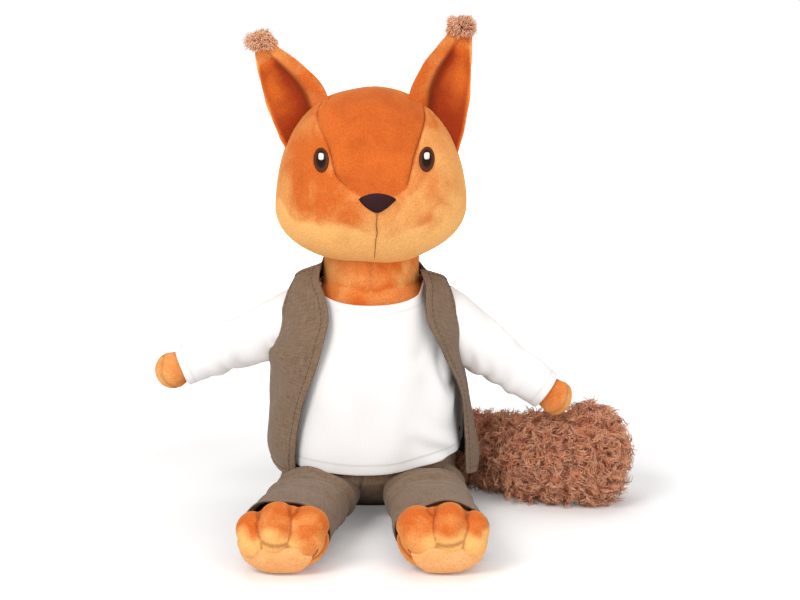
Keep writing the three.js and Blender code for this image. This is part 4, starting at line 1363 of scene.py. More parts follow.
    def build_tuft(self, base: Array, along: Array) -> None:
        """Makes the tuft: a soft core under many curved tapering hairs, which lean together in clumps.

        Args:
            base: The ear's base.
            along: The way the ear points.
        """
        label, count, points = self.side.label, self.hairs, len(self.hair_radii)
        rng = np.random.default_rng(40 + self.side.value)
        middle = base + along * (self.length + self.tuft_reach)
        way = unit(rng.normal(size=(count, 3)))
        way[:, 2] = np.where(way[:, 2] < -0.6, -way[:, 2], way[:, 2])
        root = middle + way * self.tuft_half * rng.uniform(0.3, 0.8, (count, 1))
        clumps = rng.normal(size=(self.clumps, 3)) * np.array([1.2, 1.0, 0.9])
        clumps = unit(clumps + np.array([0.0, 0.0, 0.35]))
        nearest = (way @ clumps.T).argmax(axis=1)
        tall = rng.uniform(0.4, 1.6, len(clumps))[nearest]
        fall = unit(way * self.tuft_half / self.tuft_half.max() + np.array([self.side.value * 0.1, 0.0, 0.2]))
        bend = unit(np.cross(fall, rng.normal(size=(count, 3))))
        length = rng.uniform(*self.hair_lengths, (count, 1, 1)) * MM * tall[:, None, None]
        share = np.linspace(0, 1, points)[None, :, None]
        wave = np.sin(share * rng.uniform(2.5, 6.0, (count, 1, 1)) + rng.uniform(0, 6, (count, 1, 1)))
        drawn = fall[:, None] * (1 - 0.65 * share) + clumps[nearest][:, None] * 0.65 * share
        line = root[:, None] + drawn * length * share + bend[:, None] * (wave * 1.0 * MM * share)
        line[..., 2] -= share[..., 0] ** 2 * self.hair_fall
        thick = np.broadcast_to(self.hair_radii, (count, points))
        tone = np.broadcast_to(0.25 + share[..., 0] * 0.8, (count, points))
        hue = np.broadcast_to(rng.uniform(0, 1, (count, 1)), (count, points))
        locks = strands(f"{label}_tuft_locks", line, thick, 3, {"tone": tone, "hue": hue})
        dress(locks, self.finishes.tufts)
        core = ball(24, 16) * self.tuft_half * self.core_share + middle
        marks = {"tone": np.full(core.shape[:2], 0.2), "hue": np.full(core.shape[:2], 0.4)}
        tuft = skin(f"{label}_tuft_core", core, marks)
        dress(tuft, self.finishes.tufts)
        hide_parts(f"{label}_ear_tuft")
        for piece in (locks, tuft):
            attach(piece, f"{label}_ear")


# Trunk and clothes


@dataclass
class Trunk:
    """The stuffed torso and the neck that joins it to the head."""

    finishes: Finishes
    form: TorsoForm = TorsoForm()
    sides: int = 96
    rows: int = 70
    bottom: float = 1.4 * MM
    top: float = 119.6 * MM
    torso_shade: float = 0.1
    neck_rows: int = 60
    neck_bottom: float = 105 * MM
    neck_top: float = 150 * MM
    neck_radius: float = 23.9 * MM
    neck_taper: float = 1.2 * MM
    # The neck's front seam: its X, its width, how deep it is drawn in, and the swell beside it.
    seam_x: float = 0.4 * MM
    seam_wide: float = 0.9 * MM
    seam_deep: float = 0.7 * MM
    seam_mark: float = 0.25
    swell_wide: float = 5 * MM
    swell: float = 0.4 * MM
    uneven: Uneven = Uneven(30 * MM, 0.4 * MM, 5)
    blend_start: float = 106 * MM
    blend_end: float = 122 * MM

    def build(self) -> None:
        """Makes and dresses the torso and neck skins."""
        angles = ring_angles(self.sides)
        rings = self.form.rings(0.0, self.bottom, self.top, self.rows, angles)
        plain = np.ones(rings.shape[:2])
        torso = skin("torso_skin", rings, {"shade": plain * self.torso_shade, "seam": plain * 0})
        dress(torso, self.finishes.orange)
        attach(torso, "torso")
        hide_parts("torso", "torso_filling")
        self.build_neck(angles)

    def build_neck(self, angles: Array) -> None:
        """Makes and dresses the neck, a round column that tapers under the head.

        Args:
            angles: The angles of a ring's points.
        """
        height = np.linspace(self.neck_bottom, self.neck_top, self.neck_rows)[:, None]
        radius = self.neck_radius - self.neck_taper * smooth_step(height, 140 * MM, 150 * MM)
        column = [radius * np.cos(angles), radius * np.sin(angles), height * np.ones(self.sides)]
        column = np.stack(column, axis=-1)
        # Behind, the seam is as good as a metre away.
        away = np.abs(column[..., 0] - self.seam_x) + np.where(column[..., 1] < 0, 0, 1)
        seam = bell(away, self.seam_wide)
        rise = self.uneven.at(column) - seam * self.seam_deep + bell(away, self.swell_wide) * self.swell
        column = column + grid_normals(column, True) * rise[..., None]
        # Painted sheen makes the neck paler at the sides and in a band under the chin, in millimetres.
        across, _, up = (column[..., axis] / MM for axis in range(3))
        shade = 0.25 * smooth_step(np.abs(across) + 6 * lumps(column, 12 * MM, 8), 14, 24)
        shade = shade + 0.22 * bell(up - 124, 5) - 0.05
        neck = skin("neck_skin", column, {"shade": shade, "seam": seam * self.seam_mark})
        dress(neck, self.finishes.orange)
        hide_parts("neck")
        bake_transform(neck, "torso", "neck", start=(0, 0, self.blend_start), end=(0, 0, self.blend_end))


@dataclass
class Shirt:
    """The white jersey shirt's body, a tube from its hem to its neckline."""

    finishes: Finishes
    form: TorsoForm = TorsoForm()
    rows: int = 92
    sides: int = 200
    grow: float = 2.7 * MM
    thickness: float = 1.1 * MM
    flat: tuple = (0.25, 0.094)
    area: float = 0.0205
    # Stitched lines over the hem and under the neckline, in millimetres, and their half width.
    hem_seam: float = 4.5
    neck_seam: float = 3.2
    seam_wide: float = 0.35
    seam_mark: float = 0.8

    def build(self) -> None:
        """Makes and dresses the shirt's body.

        Its hem rises to the sides, its neckline drops in front, and three waves fold it: soft lumps,
        upright drape over the belly, and slanting creases that the left arm pulls.
        """
        angles = ring_angles(self.sides)
        across = np.cos(angles)
        front = smooth_step(-np.sin(angles), -0.2, 0.5)
        hem = (28.0 + 5.5 * np.abs(across + 0.1) ** 1.6 * (1 + 0.4 * across)) * MM
        neckline = np.minimum(111 + 0.36 * (27 + 27 * np.sin(angles)), 119.4) * MM
        rings = self.form.rings(self.grow, hem, neckline, self.rows, angles)
        x, z = rings[..., 0], rings[..., 2]
        folds = lumps(rings * np.array([1.0, 1.0, 0.45]), 21 * MM, 21) * 0.8 * MM
        low = smooth_step(-z, -60 * MM, -30 * MM)
        drape = np.sin(across * 9 + 1.0) * low * 1.0 * MM * front
        slant = (z * 0.86 + x * 0.5) / (7.5 * MM) + lumps(rings, 30 * MM, 25) * 1.2
        pulled = np.sin(slant * 2) * smooth_step(x, 12 * MM, 34 * MM) * front * 0.9 * MM
        pulled = pulled * smooth_step(-z, -100 * MM, -80 * MM)
        rings = rings + grid_normals(rings, True) * (folds + drape + pulled + low * 1.2 * MM)[..., None]
        over_hem = (rings[..., 2] - rings[:1, :, 2]) / MM
        under_neck = (rings[-1:, :, 2] - rings[..., 2]) / MM
        seam = bell(over_hem - self.hem_seam, self.seam_wide)
        seam = seam + bell(under_neck - self.neck_seam, self.seam_wide)
        body = cloth("shirt_body_jersey", rings, self.thickness, True, {"seam": seam * self.seam_mark})
        dress(body, self.finishes.jersey)
        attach(body, "torso")
        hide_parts("shirt_body")


@dataclass(frozen=True)
class Cut:
    """What one panel of the vest is cut to, and where its stitched edges begin as shares of its height."""

    node: str
    flat: tuple
    area: float
    left: float
    right: float


@dataclass
class Vest:
    """The open vest: a back and two fronts of canvas, topstitched near their edges."""

    finishes: Finishes
    form: TorsoForm = TorsoForm()
    rows: int = 90
    front_columns: int = 48
    back_columns: int = 110
    thickness: float = 1.5 * MM
    clearance: float = 5.0 * MM
    uneven: Uneven = Uneven(26 * MM, 0.55 * MM, 31)
    stitch: Stitch = Stitch()
    stitch_inset: float = 2.6 * MM
    stitch_lift: float = 0.78 * MM
    stitch_points: int = 200
    cuts: tuple = (
        Cut("vest_right_front", (0.047, 0.112), 0.0038, 0.0, 0.52),
        Cut("vest_left_front", (0.033, 0.112), 0.0026, 0.0, 0.52),
        Cut("vest_back", (0.150, 0.110), 0.0141, 0.52, 0.52))
    # How far the loose inner edge of each front stands off, in millimetres.
    loose_right: float = 1.6
    loose_left: float = 4.2
    # Half depth of the vest at each height.
    depths: Array = in_mm(
        (24.0, 40.5), (40.0, 41.5), (57.0, 41.0), (72.0, 39.8), (85.0, 37.6), (97.0, 34.5), (108.0, 29.0),
        (117.0, 22.0), (124.0, 13.0), (130.0, 4.0))
    # X, Y and Z of the side seams and of the armholes' front edges, from the hem up.
    side_right: tuple = ((-50.5, 2, 25.5), (-53.0, 2, 37), (-51.5, 2, 58), (-50.6, 2, 76), (-53.0, 0, 85.5))
    side_left: tuple = ((54.0, 2, 20.5), (54.5, 2, 31), (50.0, 2, 54), (47.5, 2, 72), (46.5, 0, 82))
    hole_right: tuple = (
        (-50.6, -7, 91), (-47.6, -12, 98), (-44.0, -12.5, 107), (-41.0, -8, 115), (-37.5, 0, 121.5))
    hole_left: tuple = ((46.6, -7, 88), (45.8, -12, 96), (43.6, -12.5, 106), (40.4, -8, 114), (37.0, 0, 120))
    # X and Z of the fronts' inner edges, from the hem up to the shoulder.
    inner_right: Array = in_mm(
        (-38.6, 25), (-38.0, 37), (-34.9, 57), (-28.5, 76), (-24.0, 90), (-21.0, 105),
        (-22.5, 115), (-26.5, 123), (-25.8, 129))
    inner_left: Array = in_mm(
        (48.5, 24), (46.5, 40), (44.1, 57), (38.8, 76), (32.0, 91), (27.0, 104),
        (26.6, 114), (27.6, 121), (25.4, 126))
    # The back's middle line: share of its height and Z.
    back_middle: tuple = ((0, 26 * MM), (0.4, 62 * MM), (0.8, 106 * MM), (1, 124 * MM))
    # An armhole is cut less deep behind, and a little further out.
    hole_behind: float = 0.45
    hole_out: float = 2.5
    # The back's shoulder straps: X of their middle, half width, rise at the right and the left, and reach.
    strap_x: float = 26 * MM
    strap_wide: float = 9 * MM
    strap_rise: tuple = (4.5 * MM, 2.6 * MM)
    strap_reach: float = 8.5 * MM
    strap_inner: tuple = (22.3 * MM, 27.5 * MM)
    strap_outer: float = 37.5 * MM

    def panel(self, inner: Array, outer: Array, loose: float, cut: Cut) -> None:
        """Makes a front between its inner and its outer edge, bulged over the body as a superellipse.

        Args:
            inner: X and Z of the inner edge from the hem up.
            outer: X, Y and Z of the outer edge from the hem up.
            loose: How far its inner edge stands off.
            cut: What it is cut to.
        """
        share = np.linspace(0, 1, self.rows)
        outer = spline(outer, share)
        rim = spline(inner, share)
        height = (rim[:, 1] + outer[:, 2]) / 2
        depth = np.interp(height, self.depths[:, 0], self.depths[:, 1])
        power = self.form.power
        # The width that the superellipse needs for its outer edge to lie where the side seam does.
        gone = np.clip(np.abs(outer[:, 1]) / depth, 0, 0.97) ** power
        wide = np.abs(outer[:, 0]) / (1 - gone) ** (1 / power)
        sign = np.sign(outer[:, 0])
        start, end = (np.arcsin(signed_power(np.clip(np.abs(x) / wide, 0, 1), power / 2)) * np.sign(x) * sign
                      for x in (rim[:, 0], outer[:, 0]))
        step = np.linspace(0, 1, self.front_columns)
        turn = start[:, None] + (end - start)[:, None] * step
        x = wide[:, None] * signed_power(np.sin(turn), 2 / power) * sign[:, None]
        y = -depth[:, None] * np.abs(np.cos(turn)) ** (2 / power)
        z = rim[:, 1:] + (outer[:, 2:] - rim[:, 1:]) * step
        middle = np.stack([x, y, z], axis=-1)
        away = np.sin(np.clip(share * 1.12, 0, 1) * math.pi)[:, None] * np.clip(1 - step * 1.5, 0, 1) ** 1.5
        middle = middle + unit(middle * np.array([1.0, 1.0, 0.0])) * (loose * MM * away)[..., None]
        self.finish_panel(middle, cut)

    def finish_panel(self, middle: Array, cut: Cut) -> None:
        """Gives a panel its soft unevenness, cloth thickness and stitches.

        Args:
            middle: Its middle surface.
            cut: What it is cut to.
        """
        name = f"{cut.node}_canvas"
        normals = grid_normals(middle, False)
        outward = np.where((normals * middle * np.array([1, 1, 0])).sum(-1, keepdims=True) < 0, -1.0, 1.0)
        normals = normals * outward
        middle = middle + normals * self.uneven.at(middle)[..., None]
        panel = cloth(name, middle, self.thickness, False, {"seam": np.zeros(middle.shape[:2])})
        dress(panel, self.finishes.khaki)
        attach(panel, "torso")
        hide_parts(cut.node)
        for label, (down, along) in self.sewn_edges(middle, cut).items():
            path = on_grid(middle + normals * self.stitch_lift, down, along)
            seam = stitches(f"{name}_stitch_{label}", path, on_grid(normals, down, along), self.stitch)
            dress(seam, self.finishes.sewing_thread)
            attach(seam, "torso")

    def sewn_edges(self, middle: Array, cut: Cut) -> dict:
        """Finds the lines of stitches, each one inset from an edge.

        Args:
            middle: A panel's middle surface.
            cut: What it is cut to.

        Returns:
            Row and column places of each line, by its name.
        """
        rows, columns = middle.shape[:2]
        count = self.stitch_points
        tall = length_map(middle, False)[-1, 0, 1]
        wide = np.linalg.norm(np.diff(middle, axis=1), axis=2).sum(axis=1)
        step = self.stitch_inset / tall * (rows - 1)
        over = np.linspace(1, columns - 2, count)
        lines = {"hem": (np.full(count, step), over), "top": (np.full(count, rows - 1 - step), over)}
        for label, begins in (("left", cut.left), ("right", cut.right)):
            places = np.linspace(begins, 1, count) * (rows - 1)
            edge = self.stitch_inset / np.interp(places, np.arange(rows), wide) * (columns - 1)
            lines[label] = (places, edge if label == "left" else columns - 1 - edge)
        return lines

    def build(self) -> None:
        """Makes the three panels."""
        right, left, back = self.cuts
        outer_right = np.array(self.side_right + self.hole_right) * MM
        outer_left = np.array(self.side_left + self.hole_left) * MM
        self.panel(self.inner_right, outer_right, self.loose_right, right)
        self.panel(self.inner_left, outer_left, self.loose_left, left)
        self.finish_panel(self.back_surface(), back)

    def back_edge(self, side: tuple, hole: tuple, outward: float) -> Array:
        """Gives one side edge of the back."""
        behind = tuple((x + outward * (y < 0), -y * self.hole_behind, z) for x, y, z in hole)
        return spline(np.array(side + behind) * MM, np.linspace(0, 1, self.rows))

    def back_surface(self) -> Array:
        """Bulges the back between its edges as a superellipse, and carries its straps over the shoulders.

        Returns:
            Points, rows by columns by 3.
        """
        share = np.linspace(0, 1, self.rows)
        right = self.back_edge(self.side_right, self.hole_right, self.hole_out)
        left = self.back_edge(self.side_left, self.hole_left, -self.hole_out)
        step = np.linspace(-1, 1, self.back_columns)
        middle_z = read_table(share, self.back_middle)
        depth = np.interp(middle_z, self.depths[:, 0], self.depths[:, 1])
        depth = np.maximum(depth, self.form.size(middle_z)[:, 1] + self.clearance)
        ends = np.where(step[None, :] < 0, right[:, 1:2], left[:, 1:2])
        turn = step * math.pi / 2
        x = np.where(step < 0, -right[:, :1], left[:, :1]) * signed_power(np.sin(turn), 2 / self.form.power)
        y = ends + (depth[:, None] - ends) * np.abs(np.cos(turn)) ** (2 / self.form.power)
        rise = np.where(step[None, :] < 0, right[:, 2:], left[:, 2:])
        z = middle_z[:, None] + (rise - middle_z[:, None]) * np.abs(step) ** 2.2
        peak = np.where(x < 0, *self.strap_rise) * bell(np.abs(x) - self.strap_x, self.strap_wide)
        z = z + peak * smooth_step(share, 0.75, 1)[:, None]
        over = smooth_step(np.abs(x), *self.strap_inner) * smooth_step(share, 0.88, 1.0)[:, None]
        width = self.strap_outer - self.strap_x
        strap = -self.strap_reach * np.clip((self.strap_outer - np.abs(x)) / width, 0, 1) ** 0.45
        y = y + (strap - y) * over
        return np.stack([x, y, z], axis=-1)


@dataclass
class Shorts:
    """The shorts' seat round the hips."""

    finishes: Finishes
    form: TorsoForm = TorsoForm()
    rows: int = 60
    sides: int = 250
    grow: float = 1.1 * MM
    bottom: float = 2.3 * MM
    top: float = 44 * MM
    thickness: float = 1.3 * MM
    # Shares of the width at which the seat closes under the doll, and how high its floor lies.
    floor_shares: tuple = (0.08, 0.3, 0.55, 0.78, 0.92)
    floor: float = 0.95 * MM
    # The front seam passes this X at this height and leans by this slope.
    seam_x: float = -5 * MM
    seam_z: float = 22 * MM
    seam_slope: float = 0.15
    seam_wide: float = 0.6 * MM
    seam_deep: float = 0.8 * MM
    seam_mark: float = 0.8
    uneven: Uneven = Uneven(22 * MM, 0.5 * MM, 61)
    flat: tuple = (0.255, 0.074)
    area: float = 0.0130

    def build(self) -> None:
        """Makes and dresses the hips of the shorts."""
        rings = self.form.rings(self.grow, self.bottom, self.top, self.rows, ring_angles(self.sides))
        middle = np.array([0.0, self.form.setback[0, 1], 0.0])
        under = (rings[:1] - middle) * np.array([1.0, 1.0, 0.0])
        shares = np.array(self.floor_shares)[:, None, None]
        floor = under * shares + middle + np.array([0.0, 0.0, self.floor])
        rings = np.concatenate([floor, rings])
        away = np.abs(rings[..., 0] - self.seam_x - (rings[..., 2] - self.seam_z) * self.seam_slope)
        seam = bell(away, self.seam_wide) * (rings[..., 1] < 0)
        rise = self.uneven.at(rings) - seam * self.seam_deep
        rise = rise * smooth_step(rings[..., 2], 1 * MM, 9 * MM)
        rings = rings + grid_normals(rings, True) * rise[..., None]
        hips = cloth("shorts_hips_canvas", rings, self.thickness, True, {"seam": seam * self.seam_mark})
        dress(hips, self.finishes.khaki)
        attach(hips, "torso")
        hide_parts("shorts_hips")


# Limbs


@dataclass
class Arm:
    """One arm with its mitten hand, and the sleeve over it."""

    side: Side
    droop: float
    finishes: Finishes
    shoulder: Array = in_mm(36.0, 0.0, 100.0)
    run: float = 80.0
    forward: float = 5.0
    # Half width, half height and distance from the shoulder, and the rounded ends.
    stations: Array = in_mm((13.4, 13.4, 0), (12.2, 12.2, 27), (9.2, 9.2, 48), (7.6, 7.8, 63), (8.3, 9.4, 71))
    root_cap: float = 12 * MM
    hand_cap: float = 8.6 * MM
    rows: int = 70
    cap_rows: int = 14
    sides: int = 72
    # The hand's seam: its distance from the shoulder, which lessens by its bow above and below.
    seam_reach: float = 76 * MM
    seam_bow: float = 5 * MM
    seam_bow_wide: float = 9 * MM
    seam_wide: float = 0.7 * MM
    seam_deep: float = 0.35 * MM
    seam_mark: float = 0.35
    blend_x: tuple = (30 * MM, 50 * MM)
    sleeve_stations: Array = in_mm(
        (15.2, 15.2, -5), (15.2, 15.2, 6), (14.2, 14.2, 20), (12.6, 12.6, 34),
        (10.7, 10.7, 50), (9.4, 9.6, 65))
    sleeve_rows: int = 110
    sleeve_sides: int = 120
    thickness: float = 1.1 * MM
    fold_pitch: float = 11 * MM
    # The cuff's stitched line: its distance from the shoulder and half width, in millimetres.
    cuff_seam: float = 61.3
    cuff_wide: float = 0.35
    cuff_mark: float = 0.8
    flat: tuple = (0.094, 0.07)
    area: float = 0.0056

    def build(self) -> None:
        """Makes and dresses the arm and its sleeve."""
        label, sign = self.side.label, self.side.value
        start = self.shoulder * self.side.mirror
        slope = math.radians(self.droop)
        direction = np.array([sign * self.run * math.cos(slope), -self.forward, -self.run * math.sin(slope)])
        direction = unit(direction)
        sizes = capped(self.stations, self.root_cap, self.hand_cap, self.rows, self.cap_rows)
        rings = sized_rings(start, direction, sizes, self.sides)
        reach = (rings - start) @ direction
        up = rings[..., 2] - start[2] - reach * direction[2]
        away = reach - self.seam_reach + self.seam_bow * (up / self.seam_bow_wide) ** 2
        seam = bell(away, self.seam_wide)
        # The skin is paler towards the hand, and darker along the line where its two halves meet.
        edge = np.abs(rings[..., 1] - start[1] - reach * direction[1])
        rise = Uneven(15 * MM, 0.35 * MM, 71 + sign).at(rings) - seam * self.seam_deep
        rings = rings + grid_normals(rings, True) * rise[..., None]
        shade = 0.35 * smooth_step(reach / MM, 64, 80) + 0.1 - 0.3 * smooth_step(-edge / MM, -2, 0)
        arm = skin(f"{label}_arm_skin", rings, {"shade": shade, "seam": seam * self.seam_mark})
        dress(arm, self.finishes.orange)
        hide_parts(f"{label}_arm", f"{label}_arm_filling")
        sleeve = self.build_sleeve(start, direction)
        ends = dict(zip(("start", "end"), ((sign * x, 0, start[2]) for x in self.blend_x)))
        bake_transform(arm, "torso", f"{label}_arm", **ends)
        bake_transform(sleeve, "torso", f"{label}_arm", **ends)

    def build_sleeve(self, start: Array, direction: Array) -> Piece:
        """Makes the sleeve, with soft cross folds that are deepest under the arm, and a turned hem.

        Args:
            start: The shoulder joint.
            direction: The way the arm runs.

        Returns:
            The sleeve.
        """
        sizes = spline(self.sleeve_stations, np.linspace(0, 1, self.sleeve_rows))
        rings = sized_rings(start, direction, sizes, self.sleeve_sides)
        reach = (rings - start) @ direction
        under = smooth_step(-rings[..., 2] + start[2] + reach * direction[2], -3 * MM, 8 * MM)
        wander = rings[..., 1] / (9 * MM) + lumps(rings, 30 * MM, 81) * 2.5
        bunch = np.sin(reach / self.fold_pitch * 2 * math.pi + wander)
        rise = bunch * (0.1 + 0.5 * under) * smooth_step(reach, 0, 14 * MM) * MM
        rise = rise * smooth_step(-reach, -60 * MM, -48 * MM) + lumps(rings, 22 * MM, 83) * 0.5 * MM
        rings = rings + grid_normals(rings, True) * rise[..., None]
        seam = bell(reach / MM - self.cuff_seam, self.cuff_wide) * self.cuff_mark
        label = self.side.label
        sleeve = cloth(f"{label}_sleeve_jersey", rings, self.thickness, True, {"seam": seam})
        dress(sleeve, self.finishes.jersey)
        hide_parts(f"{label}_sleeve")
        return sleeve


@dataclass
class Leg:
    """One leg with its toed foot and sole, and the leg of the shorts over it."""

    side: Side
    foot_x: float
    finishes: Finishes
    hip: Array = in_mm(25.5, -18.0, 17.0)
    ankle_y: float = -94.0 * MM
    ankle_z: float = 15.5 * MM
    # Half width, half height and distance from the hip, and the rounded ends.
    stations: Array = in_mm((17.4, 13.8, 0), (17.0, 12.4, 38), (16.0, 11.4, 76))
    hip_cap: float = 7 * MM
    ankle_cap: float = 12 * MM
    rows: int = 60
    cap_rows: int = 12
    sides: int = 80
    flattening: float = 0.24
    # The foot's pad and its toes, of one or two ellipsoids each: middle from the foot's X, half sizes.
    pads: tuple = (
        (((0.0, -105.5, 15.8), (21.2, 12.5, 15.8)),),
        (((-11.6, -106.0, 22.6), (9.8, 11.6, 9.0)), ((-10.6, -112.0, 19.6), (9.0, 7.6, 9.6))),
        (((2.8, -106.5, 25.0), (8.9, 11.0, 8.6)), ((2.8, -113.4, 22.8), (8.4, 7.6, 8.0))),
        (((3.4, -114.6, 18.0), (8.2, 5.6, 5.6)),),
        (((14.4, -106.0, 20.6), (7.6, 10.4, 8.8)), ((13.6, -112.0, 17.6), (7.0, 7.0, 7.8))),
    )
    voxel: float = 0.8 * MM
    smoothing: int = 2
    crease_wide: float = 0.6
    crease_deep: float = 0.3 * MM
    crease_mark: float = 0.6
    # The thread down the pad's side: its Y, and for each height how far it bows out.
    thread_y: float = -114.5
    thread_bows: tuple = ((15.5, 1.0), (11.0, 0.97), (6.5, 0.85), (2.5, 0.6))
    thread_radius: float = 0.3 * MM
    # The sole: rows and columns, lowest height, tallness, half width and shift outwards.
    sole_grid: tuple = (44, 60)
    sole_low: float = 2.2
    sole_tall: float = 12.6
    sole_half: float = 17.2
    sole_shift: float = 2.6
    sole_thickness: float = 1.5 * MM
    cover_stations: Array = in_mm(
        (9.0, 7.0, -13), (17.0, 13.6, -10), (20.2, 16.5, -3), (20.3, 16.4, 8), (19.8, 15.2, 30),
        (20.2, 14.4, 52), (21.6, 14.0, 73), (21.9, 14.2, 74))
    cover_rows: int = 110
    cover_sides: int = 140
    cover_thickness: float = 1.3 * MM
    fold_pitch: float = 11 * MM
    # The cuff's stitched line: its distance from the hip and half width, in millimetres.
    cuff_seam: float = 68.5
    cuff_wide: float = 0.4
    cuff_mark: float = 0.9
    flat: tuple = (0.116, 0.095)
    area: float = 0.0100
    blend_reach: tuple = (2 * MM, 24 * MM)

    def build(self) -> None:
        """Makes and dresses the leg, the foot and the shorts' leg."""
        label = self.side.label
        start = self.hip * self.side.mirror
        direction = unit(np.array([self.foot_x, self.ankle_y, self.ankle_z]) - start)
        sizes = capped(self.stations, self.hip_cap, self.ankle_cap, self.rows, self.cap_rows)
        rings = self.flatten(sized_rings(start, direction, sizes, self.sides), start, direction)
        leg = self.blob(f"{label}_leg_skin", rings)
        dress(leg, self.finishes.orange)
        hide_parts(f"{label}_leg", f"{label}_leg_filling")
        sole = self.build_sole()
        cover = self.build_cover(start, direction)
        ends = dict(zip(("start", "end"), (tuple(start + direction * reach) for reach in self.blend_reach)))
        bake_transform(leg, "torso", f"{label}_leg", **ends)
        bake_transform(cover, "torso", f"{label}_leg", **ends)
        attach(sole, f"{label}_leg")
        side = [(self.foot_x / MM + (self.sole_shift - 17.6 * bow) * self.side.value, self.thread_y, z)
                for z, bow in self.thread_bows]
        thread = sewn_line(f"{label}_sole_seam", leg, np.array(side) * MM, self.thread_radius)
        dress(thread, self.finishes.rust_thread)
        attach(thread, f"{label}_leg")

    def flatten(self, rings: Array, start: Array, direction: Array) -> Array:
        """Lowers the top of the thigh, most of all beside the hip.

        Args:
            rings: The rings of a leg.
            start: The hip joint.
            direction: The way the leg runs.

        Returns:
            The lowered rings.
        """
        reach = (rings - start) @ direction
        over = np.maximum(rings[..., 2] - (start[2] + reach * direction[2]), 0)
        lowered = rings.copy()
        lowered[..., 2] -= over * self.flattening * smooth_step(-reach, -62 * MM, -22 * MM)
        return lowered

    def blob(self, name: str, leg_rings: Array) -> Piece:
        """Joins the leg, the pad of the foot and its three curled toes into one soft skin.

        A crease is drawn in where the two nearest of the foot's parts are as near as each other.

        Args:
            name: The skin's name.
            leg_rings: The leg's rings.

        Returns:
            The joined skin, with its marks.
        """
        sign = self.side.value
        offset = np.array([self.foot_x / MM, 0.0, 0.0])
        groups = [[(np.array(middle) * self.side.mirror, np.array(sizes)) for middle, sizes in group]
                  for group in self.pads]
        parts = [skin(f"{name}_part", leg_rings)]
        parts += [skin(f"{name}_part", ball(40, 26) * sizes * MM + (middle + offset) * MM)
                  for group in groups for middle, sizes in group]
        joined = join_parts(name, parts, self.voxel, self.smoothing)
        points = read_vectors(joined.data.vertices, "co")
        near = [np.min([np.linalg.norm((points / MM - offset - middle) / sizes, axis=1) * sizes.min()
                        for middle, sizes in group], axis=0) - group[0][1].min() for group in groups]
        near = np.sort(np.array(near), axis=0)
        front = smooth_step(-points[:, 1] / MM, 98, 106)
        crease = bell(near[1] - near[0], self.crease_wide) * smooth_step(-near[1], -1.2, -0.4) * front
        rise = Uneven(19 * MM, 0.3 * MM, 91 + sign).at(points) - crease * self.crease_deep
        points = points + read_vectors(joined.data.vertex_normals, "vector") * rise[:, None]
        points[:, 2] = np.maximum(points[:, 2], 0.05 * MM)
        joined.data.vertices.foreach_set("co", points.astype(np.float32).ravel())
        # The skin is pale low on the toes, most of all on the outer ones, and a painted highlight pales the
        # knuckles.
        waver = 2.0 * MM * lumps(points, 13 * MM, 93 + sign)
        outer = smooth_step(sign * (points[:, 0] - self.foot_x) / MM, -14, -2)
        low = smooth_step(-(points[:, 2] + waver) / MM, -25.5, -19.5) * front * (0.3 + 0.7 * outer)
        glow = bell(points[:, 2] / MM - 30, 3.5) * smooth_step(-points[:, 1] / MM, 110, 117)
        set_mark(joined, "shade", 0.95 * low + 0.2 * glow - 0.12 * (1 - low))
        # The creases are darkened, partly as painted shade and partly as the dark thread sewn into them.
        set_mark(joined, "seam", np.clip(crease * self.crease_mark, 0, 1))
        joined.data.update()
        return joined

    def build_sole(self) -> Piece:
        """Makes the pale panel under the toes, on the ellipsoid of the foot's pad.

        Returns:
            The sole.
        """
        label, (rows, columns) = self.side.label, self.sole_grid
        step = np.linspace(-1, 1, columns)
        z = self.sole_low + self.sole_tall * np.linspace(0, 1, rows)[:, None]
        wide = self.sole_half * np.sqrt(np.clip(1 - ((z - 15.8) / 16.6) ** 2, 0, 1))
        x = wide * np.sin(step * math.pi / 2) + self.side.value * self.sole_shift
        y = -105.5 - 12.35 * np.sqrt(np.clip(1 - (x / 21.4) ** 2 - ((z - 15.8) / 16.0) ** 2, 0.0, 1))
        middle = np.stack([x + self.foot_x / MM, y, z * np.ones_like(x)], axis=-1) * MM
        plain = np.ones(x.shape)
        marks = {"shade": plain * 0.3, "seam": plain * 0}
        sole = cloth(f"{label}_sole_skin", middle, self.sole_thickness, False, marks)
        dress(sole, self.finishes.pale)
        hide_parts(f"{label}_sole")
        return sole

    def build_cover(self, start: Array, direction: Array) -> Piece:
        """Makes the leg of the shorts, with creases at the groin and a turned cuff.

        Args:
            start: The hip joint.
            direction: The way the leg runs.

        Returns:
            The shorts' leg.
        """
        label = self.side.label
        sizes = spline(self.cover_stations, np.linspace(0, 1, self.cover_rows))
        rings = self.flatten(sized_rings(start, direction, sizes, self.cover_sides), start, direction)
        reach = (rings - start) @ direction
        bunch = np.sin(reach / self.fold_pitch * 2 * math.pi + lumps(rings, 44 * MM, 95) * 2.0)
        rise = bunch * 0.9 * MM * smooth_step(-reach, -50 * MM, -20 * MM)
        rise = rise + lumps(rings, 24 * MM, 97) * 0.7 * MM
        rings = rings + grid_normals(rings, True) * rise[..., None]
        rings[..., 2] = np.maximum(rings[..., 2], 0.85 * MM)
        seam = bell(reach / MM - self.cuff_seam, self.cuff_wide) * self.cuff_mark
        cover = cloth(f"shorts_{label}_leg_canvas", rings, self.cover_thickness, True, {"seam": seam})
        dress(cover, self.finishes.khaki)
        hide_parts(f"shorts_{label}_leg")
        return cover


def read_vectors(items: bpy.types.bpy_prop_collection, name: str) -> Array:
    """Reads one vector of each item of a mesh's list.

    Args:
        items: The list, such as the mesh's vertices.
        name: The vector's name.

    Returns:
        The vectors, one a row.
    """
    values = np.empty(len(items) * 3, np.float32)
    items.foreach_get(name, values)
    return values.reshape(-1, 3).astype(float)


